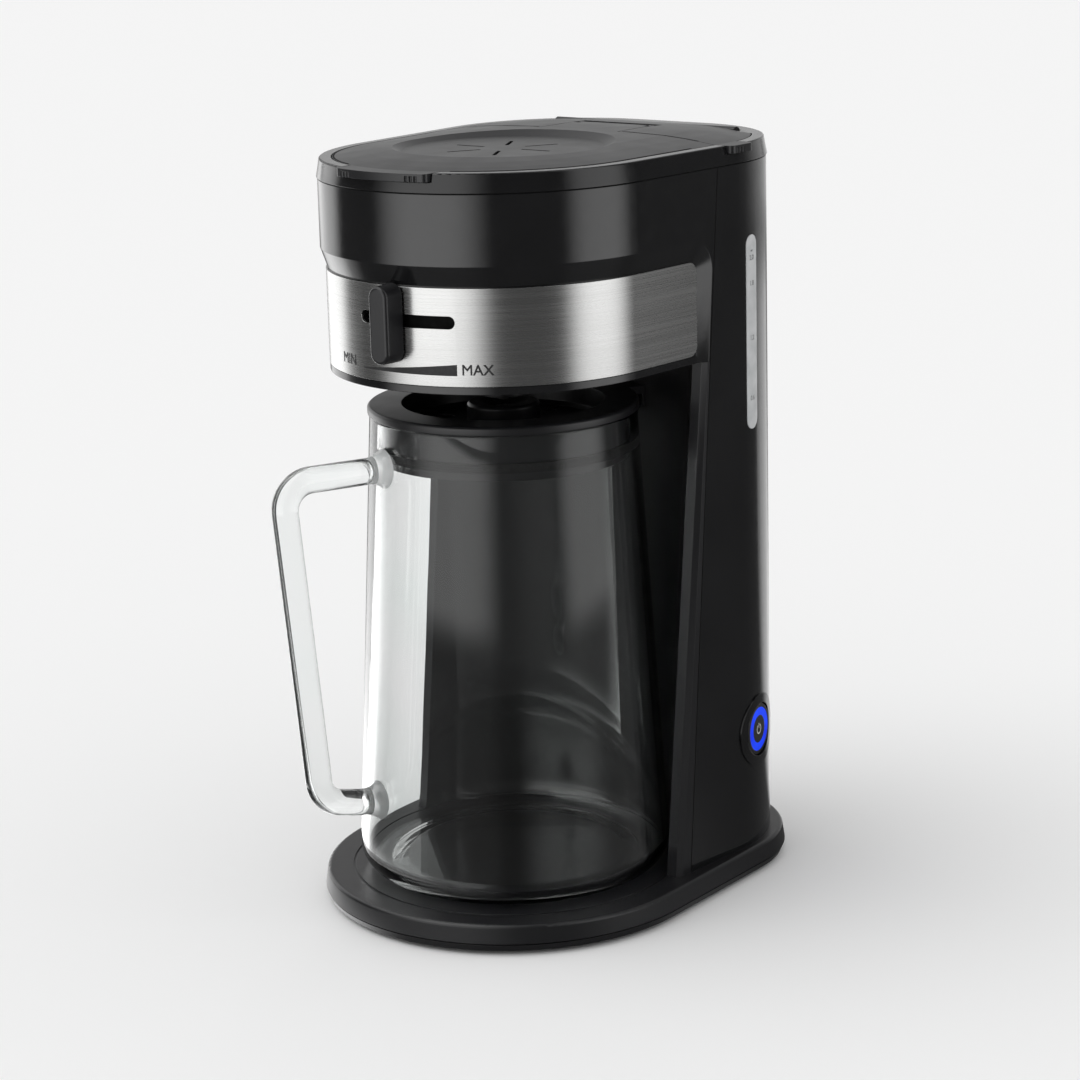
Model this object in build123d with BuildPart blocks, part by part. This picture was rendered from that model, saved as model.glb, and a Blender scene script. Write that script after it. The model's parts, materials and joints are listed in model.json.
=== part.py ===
from build123d import *
import math
import os

# Cold brew coffee maker, in millimetres, +Z up.
# The origin lies on the standing surface, under the middle of the overall box.
# The front, with the strength knob, faces -Y; the water gauge and the power button face +X.
# Plan outlines are a round front, two straight sides and two round rear corners,
# all drawn about the vertical brew axis, which runs through basket and jug.

# Plan of the body
FRONT_R = 79.5
CORNER_X = 20.0
CORNER_Y = 72.0
CORNER_R = 62.5

# Plan of the base
BASE_FRONT_R = 89.6
BASE_CORNER_X = 28.0
BASE_CORNER_Y = 78.0
BASE_CORNER_R = 59.5

# Heights
FOOT_H = 2.0
PLATE_H = 3.0
BASE_H = 9.0
COLUMN_H = 236.5
HEAD_H = 86.2
BEZEL_H = 8.3
LIP_H = 3.2
LIP_OUT = 0.7
BAND_H = 42.7
BEVEL_H = 9.2
CROWN = 3.4
CROWN_SPAN = 48.0
CROWN_STEPS = (0.0, 7.0, 16.0, 28.0, 48.0)

# Walls and clearances
WALL = 2.5
GAP = 0.6
SLIP = 0.3
PIN_SLIP = 0.05
SEAM_STEP = 0.6
PROUD = 0.4

# Screws, feet and jug seat
SCREW_X = 96.0
SCREW_Y = 84.0
SCREW_R = 1.5
SCREW_L = 5.5
SCREW_HEAD_R = 3.2
SCREW_HEAD_T = 1.6
BOSS_R_OUT = 4.0
SPOTS_Y = 24.0
BASE_DRAFT = 1.3
BASE_EDGE = 1.8
PLATE_INSET = (1.6, 0.3)
FOOT_EDGE = 0.6
FOOT_X = 112.0
FOOT_Y = 140.0
FOOT_R = 9.0
FOOT_SINK = 1.0
SEAT_RING_R = 76.4
SEAT_RING_W = 1.2
SEAT_RING_DEPTH = 0.6
FLOOR_HOLE_R = 24.0

# Steel band and its recess
RECESS = 3.1
BAND_T = 0.9
BAND_PLAY = 0.2
BAND_END_Y = 40.6
BAND_CORNER = 5.0
FRAME_CORNER = 14.0

# Jug bay and the leaning line between the front and rear housings
BAY_HALF = 74.0
BAY_DEPTH_LOW = 80.0
BAY_DEPTH_HIGH = 77.0
FACE_Y_LOW = 18.5
FACE_Y_HIGH = 43.8
SEAM_Y_LOW = 28.0
SEAM_Y_TOP = 53.8
STRIP_HALF = 79.0
STRIP_EDGE = 1.2

# Strength selector: azimuths are measured from the front, towards +X
SLOT_AZ = (-11.7, 24.4)
SLOT_RISE = 27.8
SLOT_H = 5.5
SLOT_REACH = (15.0, 5.0)
KNOB_AZ = 3.0
KNOB_H = 34.5
KNOB_W = 10.5
KNOB_DEPTH = 11.0
KNOB_DROP = 1.0
KNOB_GAP = 0.5
KNOB_DRAFT = 2.0
KNOB_EDGE = 1.6
STEM_HALF_AZ = 2.0
SLIDER_HALF_AZ = 37.0
SLIDER_T = 1.8
SLIDER_H = 11.0

# Lids
RIM_W = 6.4
LID_T = 3.5
SEAM_Y = 61.0
TONGUE_HALF = 22.0
RIM_DRAFT = 1.5
HINGE_DROP = 1.4
HINGE_Y = 90.0
KNUCKLE_R = 4.4
KNUCKLE_HALF = 18.0
EAR_T = 3.3
LID_PIN_R = 1.3
LID_PIN_END = 1.2
DISH_Y = 5.0
DISH_R = 51.0
DISH_SLOPE = 6.0
DISH_DEPTH = 2.2
DISH_SINK = 0.4
POCKET_R = 60.0
POCKET_DEPTH = 1.2
RIM_EDGE = 0.8
VENTS = 6
VENT_IN = 10.5
VENT_OUT = 26.5
VENT_W = 1.8
TAB_HALF = 25.0
TAB_REACH = 2.6
TAB_ROUND = 2.4
TAB_SKIN = 1.0
GROOVE_R = 0.7
GROOVE_PITCH = 2.2
GROOVES = 3
TANK_HINGE_Y = 112.0
TANK_ROUND = 3.2
TANK_PIN_L = 4.0
TANK_PIN_DEPTH = 6.0
MOUTH_X = (30.0, 63.0)
MOUTH_Y = (65.0, 100.0)
MOUTH_CORNER = 8.0
PORT = (-43.0, 56.0)
PORT_R = 4.2
TANK_LID_HALF = 52.0
TANK_LID_SHOULDER = 106.0
TANK_TAB_L = 16.0

# Basket and drip valve
BASKET_R = 57.0
BASKET_FLANGE = 2.6
BASKET_FLANGE_T = 1.5
BASKET_BOTTOM_R = 49.0
BASKET_RISE = 12.5
BASKET_T = 1.8
FILTER_LIP = 3.0
FILTER_T = 1.1
FILTER_GAP = 1.6
FILTER_RISE = 9.0
SPREADER_R = 38.0
SPREADER_H = 5.7
SPREADER_T = 1.6
SPRAY_HOLE_R = 2.0
SPRAY_RINGS = ((0.42, 6), (0.78, 12))
OUTLET_R = 12.0
OUTLET_T = 2.2
OUTLET_DROP = 14.5
OUTLET_HOLE_R = 4.0
VALVE_STEM_R = 2.2
VALVE_DISC_R = 7.0
VALVE_DISC_T = 3.0
VALVE_PROUD = 2.6
VALVE_TAIL = 6.0
RETAINER_RISE = 20.0
RETAINER_T = 2.0
RETAINER_HOLES = 4
RETAINER_HOLE_R = 2.0
STEM_SLIP = 0.4
SPRING_R = 5.0
SPRING_WIRE_R = 0.5
SPRING_TURNS = 5
SPRING_PLAY = 0.1

# Jug
JUG_FOOT_R = 73.4
JUG_RIM_R = 60.6
JUG_GAP = 7.0
JUG_FOOT_ROUND = 11.0
JUG_WALL = 2.8
JUG_FLOOR = 4.5
JUG_LIFT = 0.25
HANDLE_AZ = -22.0
HANDLE_REACH = 110.5
HANDLE_DROP = 20.0
HANDLE_LOW_Z = 60.0
HANDLE_END_Z = 55.5
HANDLE_LEAN = 4.7
HANDLE_BEND = 13.0
GRIP_R = 6.0
FLARE_R = 9.0
FLARE_L = 9.0
LID_FLANGE_T = 4.0
LID_EDGE = 1.0
LID_RECESS_R = 45.0
LID_RECESS_DROP = 7.0
LID_SKIRT_H = 21.0
LID_SKIRT_T = 2.0
BOSS_R = 16.5
BOSS_RISE = 3.6
BOSS_EDGE = 1.2
BOSS_SEAT = 4.0
BOSS_RIM = 5.0
BOSS_HOLE_R = 4.0
BOSS_DISH = 2.5
BOSS_NECK_H = 5.0
SPOUT_REACH = 69.0
SPOUT_HALF = 11.0
SPOUT_DROP = 6.0
SPOUT_T = 2.0
LID_FLANGE_R = 61.5
LID_SKIRT_R = 57.3
LID_SLITS = 8
LID_SLIT = (9.0, 2.4)
LID_SLIT_RING = 0.75
SEAL_RISE = 4.0
SEAL_H = 4.0

# Gauge and power button, placed by the outward normal's angle behind +X
GAUGE_NORMAL = 6.5
GAUGE_RISE = 9.0
GAUGE_H = 89.5
GAUGE_W = 9.7
POWER_NORMAL = 11.0
POWER_Z = 68.5
POWER_HOLE_R = 15.0
POWER_DISH_R = 17.4
POWER_CAP_R = 12.4
POWER_TRAVEL = 1.6
LIGHT_OUT_R = 10.4
LIGHT_IN_R = 6.6
LIGHT_T = 1.4
POWER_PROUD = 0.8
POWER_TUBE_L = 10.6
POWER_CAP_L = 8.0
POWER_EDGE = 0.6
POWER_SLIP = 0.35
WINDOW_SLIP = 0.15
WINDOW_LIP = 2.0
WINDOW_LIP_T = 1.0
WINDOW_PROUD = 0.2

# Cord gland in the rear wall
GLAND_X = -8.0
GLAND_Z = 52.0
GLAND_R = 6.0
GLAND_BORE_R = 3.4
GLAND_FLANGE_R = 8.5
GLAND_FLANGE_T = 1.5
GLAND_L = 8.0
NUT_T = 4.0

# Water tank and heater
TANK_T = 2.0
TANK_INSET = 6.2
TANK_FRONT_Y = 64.0
TANK_LOW_Y = 82.5
TANK_LEFT_X = -58.0
TANK_STEP_RISE = 5.5
TANK_LEG = 51.0
TANK_OUTLET = (30.0, 108.0)
NIPPLE_L = 9.0
NIPPLE_T = 1.0
HOSE_R = 4.5
HOSE_BORE_R = 3.0
FEED_STRAIGHT = 52.0
FEED_BEND = 60.0
RISER_SIDE = (-66.0, 82.0)
RISER_FRONT_Y = 57.0
RISER_CROSS = (32.0, 79.0)
RISER_TURNS = (82.0, 47.0, 22.0)
RISER_BENDS = (30.0, 40.0, 40.0, 25.0, 20.0)
HEATER_Y = 100.0
HEATER_ARM = 12.0
HEATER_R = 20.0
HEATER_W = 16.0
HEATER_H = 14.0
HEATER_RISE = 6.0
BRACKET_T = 1.5
BRACKET_W = 10.0
THERMOSTAT_R = 8.0
THERMOSTAT_H = 6.0
TERMINAL_X = 4.0
TERMINAL = (0.8, 6.0, 6.0)
CHECK_R = 6.5
CHECK_H = 12.0
SWITCH_W = 13.0
SWITCH_L = 9.0
SWITCH_CAP_T = 3.0
PLUNGER_R = 3.0

# Derived heights
PLATE_TOP = FOOT_H + PLATE_H
BASE_TOP = PLATE_TOP + BASE_H
HEAD_BOTTOM = BASE_TOP + COLUMN_H
HOUSING_TOP = HEAD_BOTTOM + HEAD_H
RIM_TOP = HOUSING_TOP + BEZEL_H
BAND_BOTTOM = HEAD_BOTTOM + LIP_H
BAND_TOP = BAND_BOTTOM + BAND_H
BEVEL_TOP = BAND_TOP + BEVEL_H
SLOT_Z = BAND_BOTTOM + SLOT_RISE
KNOB_Z = SLOT_Z - KNOB_DROP
LID_BOTTOM = RIM_TOP - LID_T
DECK_TOP = LID_BOTTOM - SLIP
HINGE_Z = RIM_TOP - HINGE_DROP
FLANGE_TOP = DECK_TOP - SLIP
BASKET_SEAT = FLANGE_TOP - BASKET_FLANGE_T
BASKET_BOTTOM = HEAD_BOTTOM + BASKET_RISE
FILTER_BOTTOM = BASKET_BOTTOM + FILTER_RISE
OUTLET_BOTTOM = HEAD_BOTTOM - OUTLET_DROP
SEAT_Z = OUTLET_BOTTOM + OUTLET_T
RETAINER_Z = OUTLET_BOTTOM + RETAINER_RISE
JUG_BOTTOM = BASE_TOP + JUG_LIFT
JUG_RIM_Z = OUTLET_BOTTOM - JUG_GAP
HANDLE_TOP_Z = JUG_RIM_Z - HANDLE_DROP
LID_RECESS_Z = JUG_RIM_Z - LID_RECESS_DROP
LID_SKIRT_Z = JUG_RIM_Z - LID_SKIRT_H
SEAL_Z = LID_SKIRT_Z + SEAL_RISE
BOSS_TOP = JUG_RIM_Z + BOSS_RISE
TANK_STEP_Z = HEAD_BOTTOM + TANK_STEP_RISE
TANK_BOTTOM = TANK_STEP_Z - TANK_LEG
GAUGE_LOW = TANK_BOTTOM + GAUGE_RISE
GAUGE_HIGH = GAUGE_LOW + GAUGE_H
GAUGE_Z = (GAUGE_LOW + GAUGE_HIGH) / 2
HEATER_BOTTOM = BASE_TOP + HEATER_RISE
HEATER_TOP = HEATER_BOTTOM + HEATER_H
VALVE_TOP = HEATER_TOP + CHECK_H

# Derived places in plan
BODY_REAR = CORNER_Y + CORNER_R
BAND_R = FRONT_R - RECESS + BAND_T
BORE_R = OUTLET_R - OUTLET_T
ARM_Y = HEATER_Y - HEATER_ARM / 2
BASE_REAR = BASE_CORNER_Y + BASE_CORNER_R
FRONT_REACH = HANDLE_REACH * math.cos(math.radians(HANDLE_AZ)) + GRIP_R
AXIS_Y = (FRONT_REACH - BASE_REAR) / 2
BREW_AXIS = Axis((0, AXIS_Y, 0), (0, 0, 1))
FAR = 400.0


def level(z):
    """The horizontal plane at height z, centred on the brew axis."""
    return Plane((0, AXIS_Y, z))


def upright(azimuth):
    """The vertical plane through the brew axis: local x runs outwards, local y is height."""
    a = math.radians(azimuth)
    return Plane((0, AXIS_Y, 0), x_dir=(math.sin(a), -math.cos(a), 0), z_dir=(-math.cos(a), -math.sin(a), 0))


SIDE = Plane((0, AXIS_Y, 0), x_dir=(0, 1, 0), z_dir=(1, 0, 0))
SECTION = upright(90)


def outline(front_r, corner_x, corner_y, corner_r):
    """A round front joined by tangents to two round rear corners."""
    lean = math.atan2(corner_y, corner_x) - math.acos((front_r - corner_r) / math.hypot(corner_x, corner_y))
    side = Vector(math.cos(lean), math.sin(lean))
    corner = Vector(corner_x, corner_y)
    turn = (lean + math.pi / 2) / 2
    a = side * front_r
    b = corner + side * corner_r
    m = corner + Vector(math.cos(turn), math.sin(turn)) * corner_r
    rear = corner_y + corner_r
    with BuildSketch() as plan:
        with BuildLine():
            ThreePointArc((-a.X, a.Y), (0, -front_r), (a.X, a.Y))
            for s in (1, -1):
                Line((s * a.X, a.Y), (s * b.X, b.Y))
                ThreePointArc((s * b.X, b.Y), (s * m.X, m.Y), (s * corner_x, rear))
            Line((corner_x, rear), (-corner_x, rear))
        make_face()
    return plan.sketch


def body_outline(inset=0.0):
    return outline(FRONT_R - inset, CORNER_X, CORNER_Y, CORNER_R - inset)


def base_outline(inset=0.0):
    return outline(BASE_FRONT_R - inset, BASE_CORNER_X, BASE_CORNER_Y, BASE_CORNER_R - inset)


def prism(plan, low, high, mode=Mode.ADD):
    """A plan shape drawn up from one height to another, in the part being built."""
    with BuildSketch(level(low)) as section:
        add(plan)
    extrude(section.sketch, amount=high - low, mode=mode)


def blend(plan_low, low, plan_high, high, mode=Mode.ADD):
    """A slab whose plan changes evenly from its bottom to its top."""
    with BuildSketch(level(low)) as bottom:
        add(plan_low)
    with BuildSketch(level(high)) as top:
        add(plan_high)
    loft([bottom.sketch.face(), top.sketch.face()], ruled=True, mode=mode)


def disc(radius, x=0.0, y=0.0):
    """Plan of a round shape."""
    with BuildSketch() as plan:
        with Locations((x, y)):
            Circle(radius)
    return plan.sketch


def washer(outer, inner):
    """Plan of a ring about the brew axis."""
    with BuildSketch() as plan:
        Circle(outer)
        Circle(inner, mode=Mode.SUBTRACT)
    return plan.sketch


def oblong(x0, x1, y0, y1, corner=0.0):
    """Plan of a rectangle by its limits; y is measured from the brew axis."""
    with BuildSketch() as plan:
        with Locations(((x0 + x1) / 2, (y0 + y1) / 2)):
            if corner:
                RectangleRounded(x1 - x0, y1 - y0, corner)
            else:
                Rectangle(x1 - x0, y1 - y0)
    return plan.sketch


def spots(span_x, span_y, radius):
    """Plan of four equal circles at the corners of a rectangle behind the brew axis."""
    with BuildSketch() as plan:
        with Locations((0, SPOTS_Y)):
            with GridLocations(span_x, span_y, 2, 2):
                Circle(radius)
    return plan.sketch


def rod(x0, x1, y, z, radius, mode=Mode.ADD):
    """A round bar along X."""
    with BuildSketch(Plane((x0, AXIS_Y, 0), x_dir=(0, 1, 0), z_dir=(1, 0, 0))) as section:
        with Locations((y, z)):
            Circle(radius)
    extrude(section.sketch, amount=x1 - x0, mode=mode)


def face_y(z):
    """Front face of the column's side margins at height z."""
    return FACE_Y_LOW + (FACE_Y_HIGH - FACE_Y_LOW) * (z - BASE_TOP) / (HEAD_BOTTOM - BASE_TOP)


def seam_y(z):
    """Line between the front and rear housings at height z."""
    return SEAM_Y_LOW + (SEAM_Y_TOP - SEAM_Y_LOW) * (z - BASE_TOP) / (HOUSING_TOP - BASE_TOP)


def bay_profile(z, depth):
    """Space in front of the column: a hollow for the jug between two flat margins."""
    y = face_y(z)
    slope = (seam_y(z) - STRIP_EDGE - y) / (FRONT_R - STRIP_HALF + RECESS)
    wing = y + slope * (FAR / 4 - STRIP_HALF)
    with BuildSketch() as plan:
        with BuildLine():
            Polyline((-BAY_HALF, y), (-STRIP_HALF, y), (-FAR / 4, wing), (-FAR / 4, -FAR / 2))
            Polyline((-FAR / 4, -FAR / 2), (FAR / 4, -FAR / 2), (FAR / 4, wing))
            Polyline((FAR / 4, wing), (STRIP_HALF, y), (BAY_HALF, y))
            ThreePointArc((BAY_HALF, y), (0, depth), (-BAY_HALF, y))
        make_face()
    return plan.sketch


def seam_profile(z, depth):
    """Everything in front of the line where the front housing meets the rear one."""
    y = seam_y(z)
    half = BAY_HALF + WALL
    with BuildSketch() as plan:
        with BuildLine():
            Polyline((-half, y), (-FAR / 4, y), (-FAR / 4, -FAR / 2))
            Polyline((-FAR / 4, -FAR / 2), (FAR / 4, -FAR / 2), (FAR / 4, y), (half, y))
            ThreePointArc((half, y), (0, depth + WALL), (-half, y))
        make_face()
    return plan.sketch


def column_loft(profile, mode):
    """The given profile, from the base to the head, blended along its leaning edges."""
    low = profile(BASE_TOP, BAY_DEPTH_LOW)
    high = profile(HEAD_BOTTOM, BAY_DEPTH_HIGH)
    blend(low, BASE_TOP, high, HEAD_BOTTOM, mode)


def head_front(mode):
    """Everything in the head's height in front of the leaning seam."""
    with BuildSketch(SIDE) as section:
        with BuildLine():
            Polyline(
                (-FAR / 2, HEAD_BOTTOM),
                (seam_y(HEAD_BOTTOM), HEAD_BOTTOM),
                (seam_y(FAR), FAR),
                (-FAR / 2, FAR),
                close=True,
            )
        make_face()
    extrude(section.sketch, amount=FAR / 2, both=True, mode=mode)


def polar(radius, azimuth):
    """Plan point at a radius from the brew axis and an azimuth from the front, towards +X."""
    a = math.radians(azimuth)
    return (radius * math.sin(a), -radius * math.cos(a))


def sector(inner, outer, az0, az1):
    """Plan of a curved bar between two radii and two azimuths."""
    mid = (az0 + az1) / 2
    with BuildSketch() as plan:
        with BuildLine():
            ThreePointArc(polar(outer, az0), polar(outer, mid), polar(outer, az1))
            Line(polar(outer, az1), polar(inner, az1))
            ThreePointArc(polar(inner, az1), polar(inner, mid), polar(inner, az0))
            Line(polar(inner, az0), polar(outer, az0))
        make_face()
    return plan.sketch


def radial_plane(azimuth, radius, z):
    """A plane square to the radius at the given azimuth, facing outwards; local y is up."""
    a = math.radians(azimuth)
    out = Vector(math.sin(a), -math.cos(a), 0)
    origin = Vector(0, AXIS_Y, z) + out * radius
    return Plane(origin, x_dir=(math.cos(a), math.sin(a), 0), z_dir=out)


def slot_cut():
    """The selector's slot, through the band and the wall behind it."""
    end = math.degrees(SLOT_H / 2 / FRONT_R)
    ends = (SLOT_AZ[0] + end, SLOT_AZ[1] - end)
    inner, outer = FRONT_R - SLOT_REACH[0], FRONT_R + SLOT_REACH[1]
    plan = sector(inner, outer, *ends)
    prism(plan, SLOT_Z - SLOT_H / 2, SLOT_Z + SLOT_H / 2, Mode.SUBTRACT)
    for az in ends:
        with BuildSketch(radial_plane(az, inner, SLOT_Z)) as section:
            Circle(SLOT_H / 2)
        extrude(section.sketch, amount=outer - inner, mode=Mode.SUBTRACT)


def flank():
    """Angle of the flat flank's normal, and the tangent point where the round front ends."""
    lean = math.atan2(CORNER_Y, CORNER_X)
    lean -= math.acos((FRONT_R - CORNER_R) / math.hypot(CORNER_X, CORNER_Y))
    return lean


def recess_section():
    """Profile of the band's recess and the bevel above it: radius from the brew axis, height."""
    with BuildSketch() as section:
        with BuildLine():
            Polyline(
                (FRONT_R - RECESS, HEAD_BOTTOM - 1),
                (FRONT_R + 1, HEAD_BOTTOM - 1),
                (FRONT_R + 1, BEVEL_TOP),
                (FRONT_R, BEVEL_TOP),
                (FRONT_R - RECESS, BAND_TOP),
                close=True,
            )
        make_face()
    return section.sketch


def recess_end(side, depth, high, end_low, end_high, corner):
    """Outline of the recess on a flat flank, at a depth below its surface."""
    lean = flank()
    radius = FRONT_R - depth
    along = Vector(-side * math.sin(lean), math.cos(lean), 0)
    origin = Vector(side * radius * math.cos(lean), AXIS_Y + radius * math.sin(lean), 0)
    low = (end_low - radius * math.sin(lean)) / math.cos(lean)
    top = (end_high - radius * math.sin(lean)) / math.cos(lean)
    floor = HEAD_BOTTOM - 1
    with BuildSketch(Plane(origin, x_dir=along, z_dir=(along.Y, -along.X, 0))) as section:
        with BuildLine():
            FilletPolyline((0, floor), (low, floor), (top, high), (0, high), radius=(0, corner))
            Line((0, high), (0, floor))
        make_face()
    return section.sketch.face()


def band_recess():
    """Recess for the steel band, with a bevel over it that turns down its rear ends."""
    lean = math.degrees(flank())
    with BuildSketch(upright(-90 - lean)) as section:
        add(recess_section())
    revolve(section.sketch, axis=BREW_AXIS, revolution_arc=180 + 2 * lean, mode=Mode.SUBTRACT)
    outer_low = seam_y(HEAD_BOTTOM) - STRIP_EDGE
    outer_high = seam_y(BEVEL_TOP) - STRIP_EDGE
    inner = BAND_END_Y + SLIP
    for side in (1, -1):
        mouth = recess_end(side, 0, BEVEL_TOP, outer_low, outer_high, FRAME_CORNER)
        bottom = recess_end(side, RECESS, BAND_TOP, inner, inner, BAND_CORNER)
        loft([mouth, bottom], ruled=True, mode=Mode.SUBTRACT)


def lip_plan():
    """Plan of the narrow lip under the steel band."""
    with BuildSketch() as plan:
        add(body_outline(RECESS - LIP_OUT))
        add(oblong(-FAR / 4, FAR / 4, -FAR / 4, BAND_END_Y), mode=Mode.INTERSECT)
    return plan.sketch


def head_floor():
    """Plan of the head's floor, which closes the head over the bay."""
    with BuildSketch() as plan:
        add(body_outline(RECESS + WALL))
        add(seam_profile(HEAD_BOTTOM, BAY_DEPTH_HIGH), mode=Mode.INTERSECT)
    return plan.sketch


def flank_plane(angle, z, offset=0.0):
    """A plane on the rounded rear flank, facing outwards; local x runs rearwards, local y is up."""
    a = math.radians(angle)
    out = Vector(math.cos(a), math.sin(a), 0)
    origin = Vector(CORNER_X, AXIS_Y + CORNER_Y, z) + out * (CORNER_R + offset)
    return Plane(origin, x_dir=(-math.sin(a), math.cos(a), 0), z_dir=out)


def rear_plane(offset=0.0):
    """A plane on the flat rear wall, facing rearwards; local x runs to -X, local y is up."""
    return Plane((0, AXIS_Y + BODY_REAR + offset, 0), x_dir=(-1, 0, 0), z_dir=(0, 1, 0))


def crown_rise(distance):
    """Height of the lids above the rim at a distance in from their edge."""
    short = max(CROWN_SPAN - distance, 0)
    return CROWN * (1 - (short / CROWN_SPAN) ** 2)


def crowned_slab():
    """Both lids as one pillowed slab, before they are parted."""
    edge = RIM_W + GAP
    prism(body_outline(edge), LID_BOTTOM, RIM_TOP)
    for near, far in zip(CROWN_STEPS, CROWN_STEPS[1:]):
        low = RIM_TOP + crown_rise(near)
        blend(body_outline(edge + near), low, body_outline(edge + far), RIM_TOP + crown_rise(far))


def lids_recess():
    """Plan of the space in the bezel that holds both lids."""
    with BuildSketch() as plan:
        add(body_outline(RIM_W))
        add(oblong(-FAR / 4, FAR / 4, -FAR / 2, TANK_LID_SHOULDER + GAP), mode=Mode.INTERSECT)
        add(oblong(-TANK_LID_HALF - GAP, TANK_LID_HALF + GAP, 0, TANK_HINGE_Y + TANK_ROUND + GAP))
    return plan.sketch


def front_tab(clear=0.0, reach=TAB_REACH):
    """Plan of the brew lid's finger tab."""
    with BuildSketch() as plan:
        add(body_outline(-reach))
        half = TAB_HALF + clear
        add(oblong(-half, half, -FRONT_R * 1.2, -FRONT_R * 0.8), mode=Mode.INTERSECT)
        fillet(plan.vertices().group_by(Axis.Y)[0], TAB_ROUND)
    return plan.sketch


def side_tab(clear=0.0, reach=TAB_REACH):
    """Plan of the tank lid's finger tab, on the right beside the seam."""
    start = SEAM_Y + GAP / 2
    with BuildSketch() as plan:
        add(body_outline(-reach))
        limits = oblong(FRONT_R * 0.8, FRONT_R * 1.2, start - clear, start + TANK_TAB_L + clear)
        add(limits, mode=Mode.INTERSECT)
        rows = plan.vertices().group_by(Axis.Y)
        fillet([rows[0].sort_by(Axis.X)[-1], rows[-1].sort_by(Axis.X)[-1]], TAB_ROUND)
    return plan.sketch


def grooves(places):
    """Cut finger grooves down the outer edge of a tab, under its top skin."""
    with BuildSketch() as plan:
        with Locations(*places):
            Circle(GROOVE_R)
    prism(plan.sketch, LID_BOTTOM, RIM_TOP - TAB_SKIN, Mode.SUBTRACT)


def front_grooves():
    """Places of the finger grooves near both ends of the brew lid's tab."""
    radius = FRONT_R + TAB_REACH
    last = math.degrees(math.asin(TAB_HALF / radius)) - math.degrees((TAB_ROUND + GROOVE_PITCH) / radius)
    pitch = math.degrees(GROOVE_PITCH / radius)
    return [polar(radius, s * (last - pitch * step)) for s in (1, -1) for step in range(GROOVES)]


def side_grooves():
    """Places of the finger grooves near the front end of the tank lid's tab."""
    lean = flank()
    ys = [SEAM_Y + TAB_ROUND + GROOVE_PITCH * (step + 1) for step in range(GROOVES)]
    return [((FRONT_R + TAB_REACH - y * math.sin(lean)) / math.cos(lean), y) for y in ys]


def flank_shape(angle, z, shape, start, end, mode=Mode.ADD):
    """A shape drawn out along a normal of the rounded flank, between two distances from its surface."""
    with BuildSketch(flank_plane(angle, z, start)) as section:
        add(shape)
    extrude(section.sketch, amount=end - start, mode=mode)


def capsule(length, width):
    """An upright slot shape."""
    with BuildSketch() as plan:
        SlotOverall(length, width, rotation=90)
    return plan.sketch


def tank_plan_at(front_y, inset):
    """Plan of the water tank behind front_y, less a wall all round."""
    with BuildSketch() as plan:
        add(body_outline(TANK_INSET + inset))
        limits = oblong(TANK_LEFT_X + inset, FAR / 4, front_y + inset, FAR)
        add(limits, mode=Mode.INTERSECT)
    return plan.sketch


def heater_plan(half, cut):
    """Plan of the heater: a U, open to the front."""
    with BuildSketch() as plan:
        with Locations((0, HEATER_Y)):
            Circle(HEATER_R + half)
            Circle(HEATER_R - half, mode=Mode.SUBTRACT)
        add(oblong(-FAR / 4, FAR / 4, -FAR, HEATER_Y), mode=Mode.SUBTRACT)
        for s in (1, -1):
            with Locations((s * HEATER_R, HEATER_Y - HEATER_ARM / 2)):
                Rectangle(2 * half, HEATER_ARM + cut)
    return plan.sketch


def hose(points, bends):
    """A hose of straight runs and round bends through the given points, upright at its start."""
    with BuildLine() as line:
        FilletPolyline(*[(x, AXIS_Y + y, z) for x, y, z in points], radius=bends)
    with BuildSketch(Plane(line.line @ 0, z_dir=(0, 0, 1))) as section:
        Circle(HOSE_R)
        Circle(HOSE_BORE_R, mode=Mode.SUBTRACT)
    sweep(section.sketch, path=line.line)


def turned(points, rounding, mode=Mode.ADD):
    """A body turned about the brew axis from a profile of radius and height."""
    with BuildSketch(SECTION) as section:
        with BuildLine():
            FilletPolyline(*points, radius=rounding)
            Line(points[-1], points[0])
        make_face()
    revolve(section.sketch, axis=BREW_AXIS, mode=mode)


def basket_radius(z):
    """Outer radius of the basket's cone at height z."""
    share = (z - BASKET_BOTTOM) / (BASKET_SEAT - BASKET_BOTTOM)
    return BASKET_BOTTOM_R + (BASKET_R - BASKET_BOTTOM_R) * share


def jug_radius(z):
    """Outer radius of the glass at height z."""
    return JUG_FOOT_R + (JUG_RIM_R - JUG_FOOT_R) * (z - JUG_BOTTOM) / (JUG_RIM_Z - JUG_BOTTOM)


# ---------------------------------------------------------------- base

with BuildPart() as base_shell:
    blend(base_outline(), PLATE_TOP + SEAM_STEP, base_outline(BASE_DRAFT), BASE_TOP)
    fillet(base_shell.faces().sort_by(Axis.Z)[-1].edges(), BASE_EDGE)
    prism(base_outline(BASE_DRAFT), PLATE_TOP, PLATE_TOP + SEAM_STEP)
    prism(base_outline(BASE_DRAFT + WALL), PLATE_TOP, BASE_TOP - WALL, Mode.SUBTRACT)
    prism(spots(SCREW_X, SCREW_Y, BOSS_R_OUT), PLATE_TOP, BASE_TOP - WALL)
    prism(spots(SCREW_X, SCREW_Y, SCREW_R), PLATE_TOP, PLATE_TOP + SCREW_L, Mode.SUBTRACT)
    prism(washer(SEAT_RING_R, SEAT_RING_R - SEAT_RING_W), BASE_TOP - SEAT_RING_DEPTH, BASE_TOP, Mode.SUBTRACT)

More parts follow.
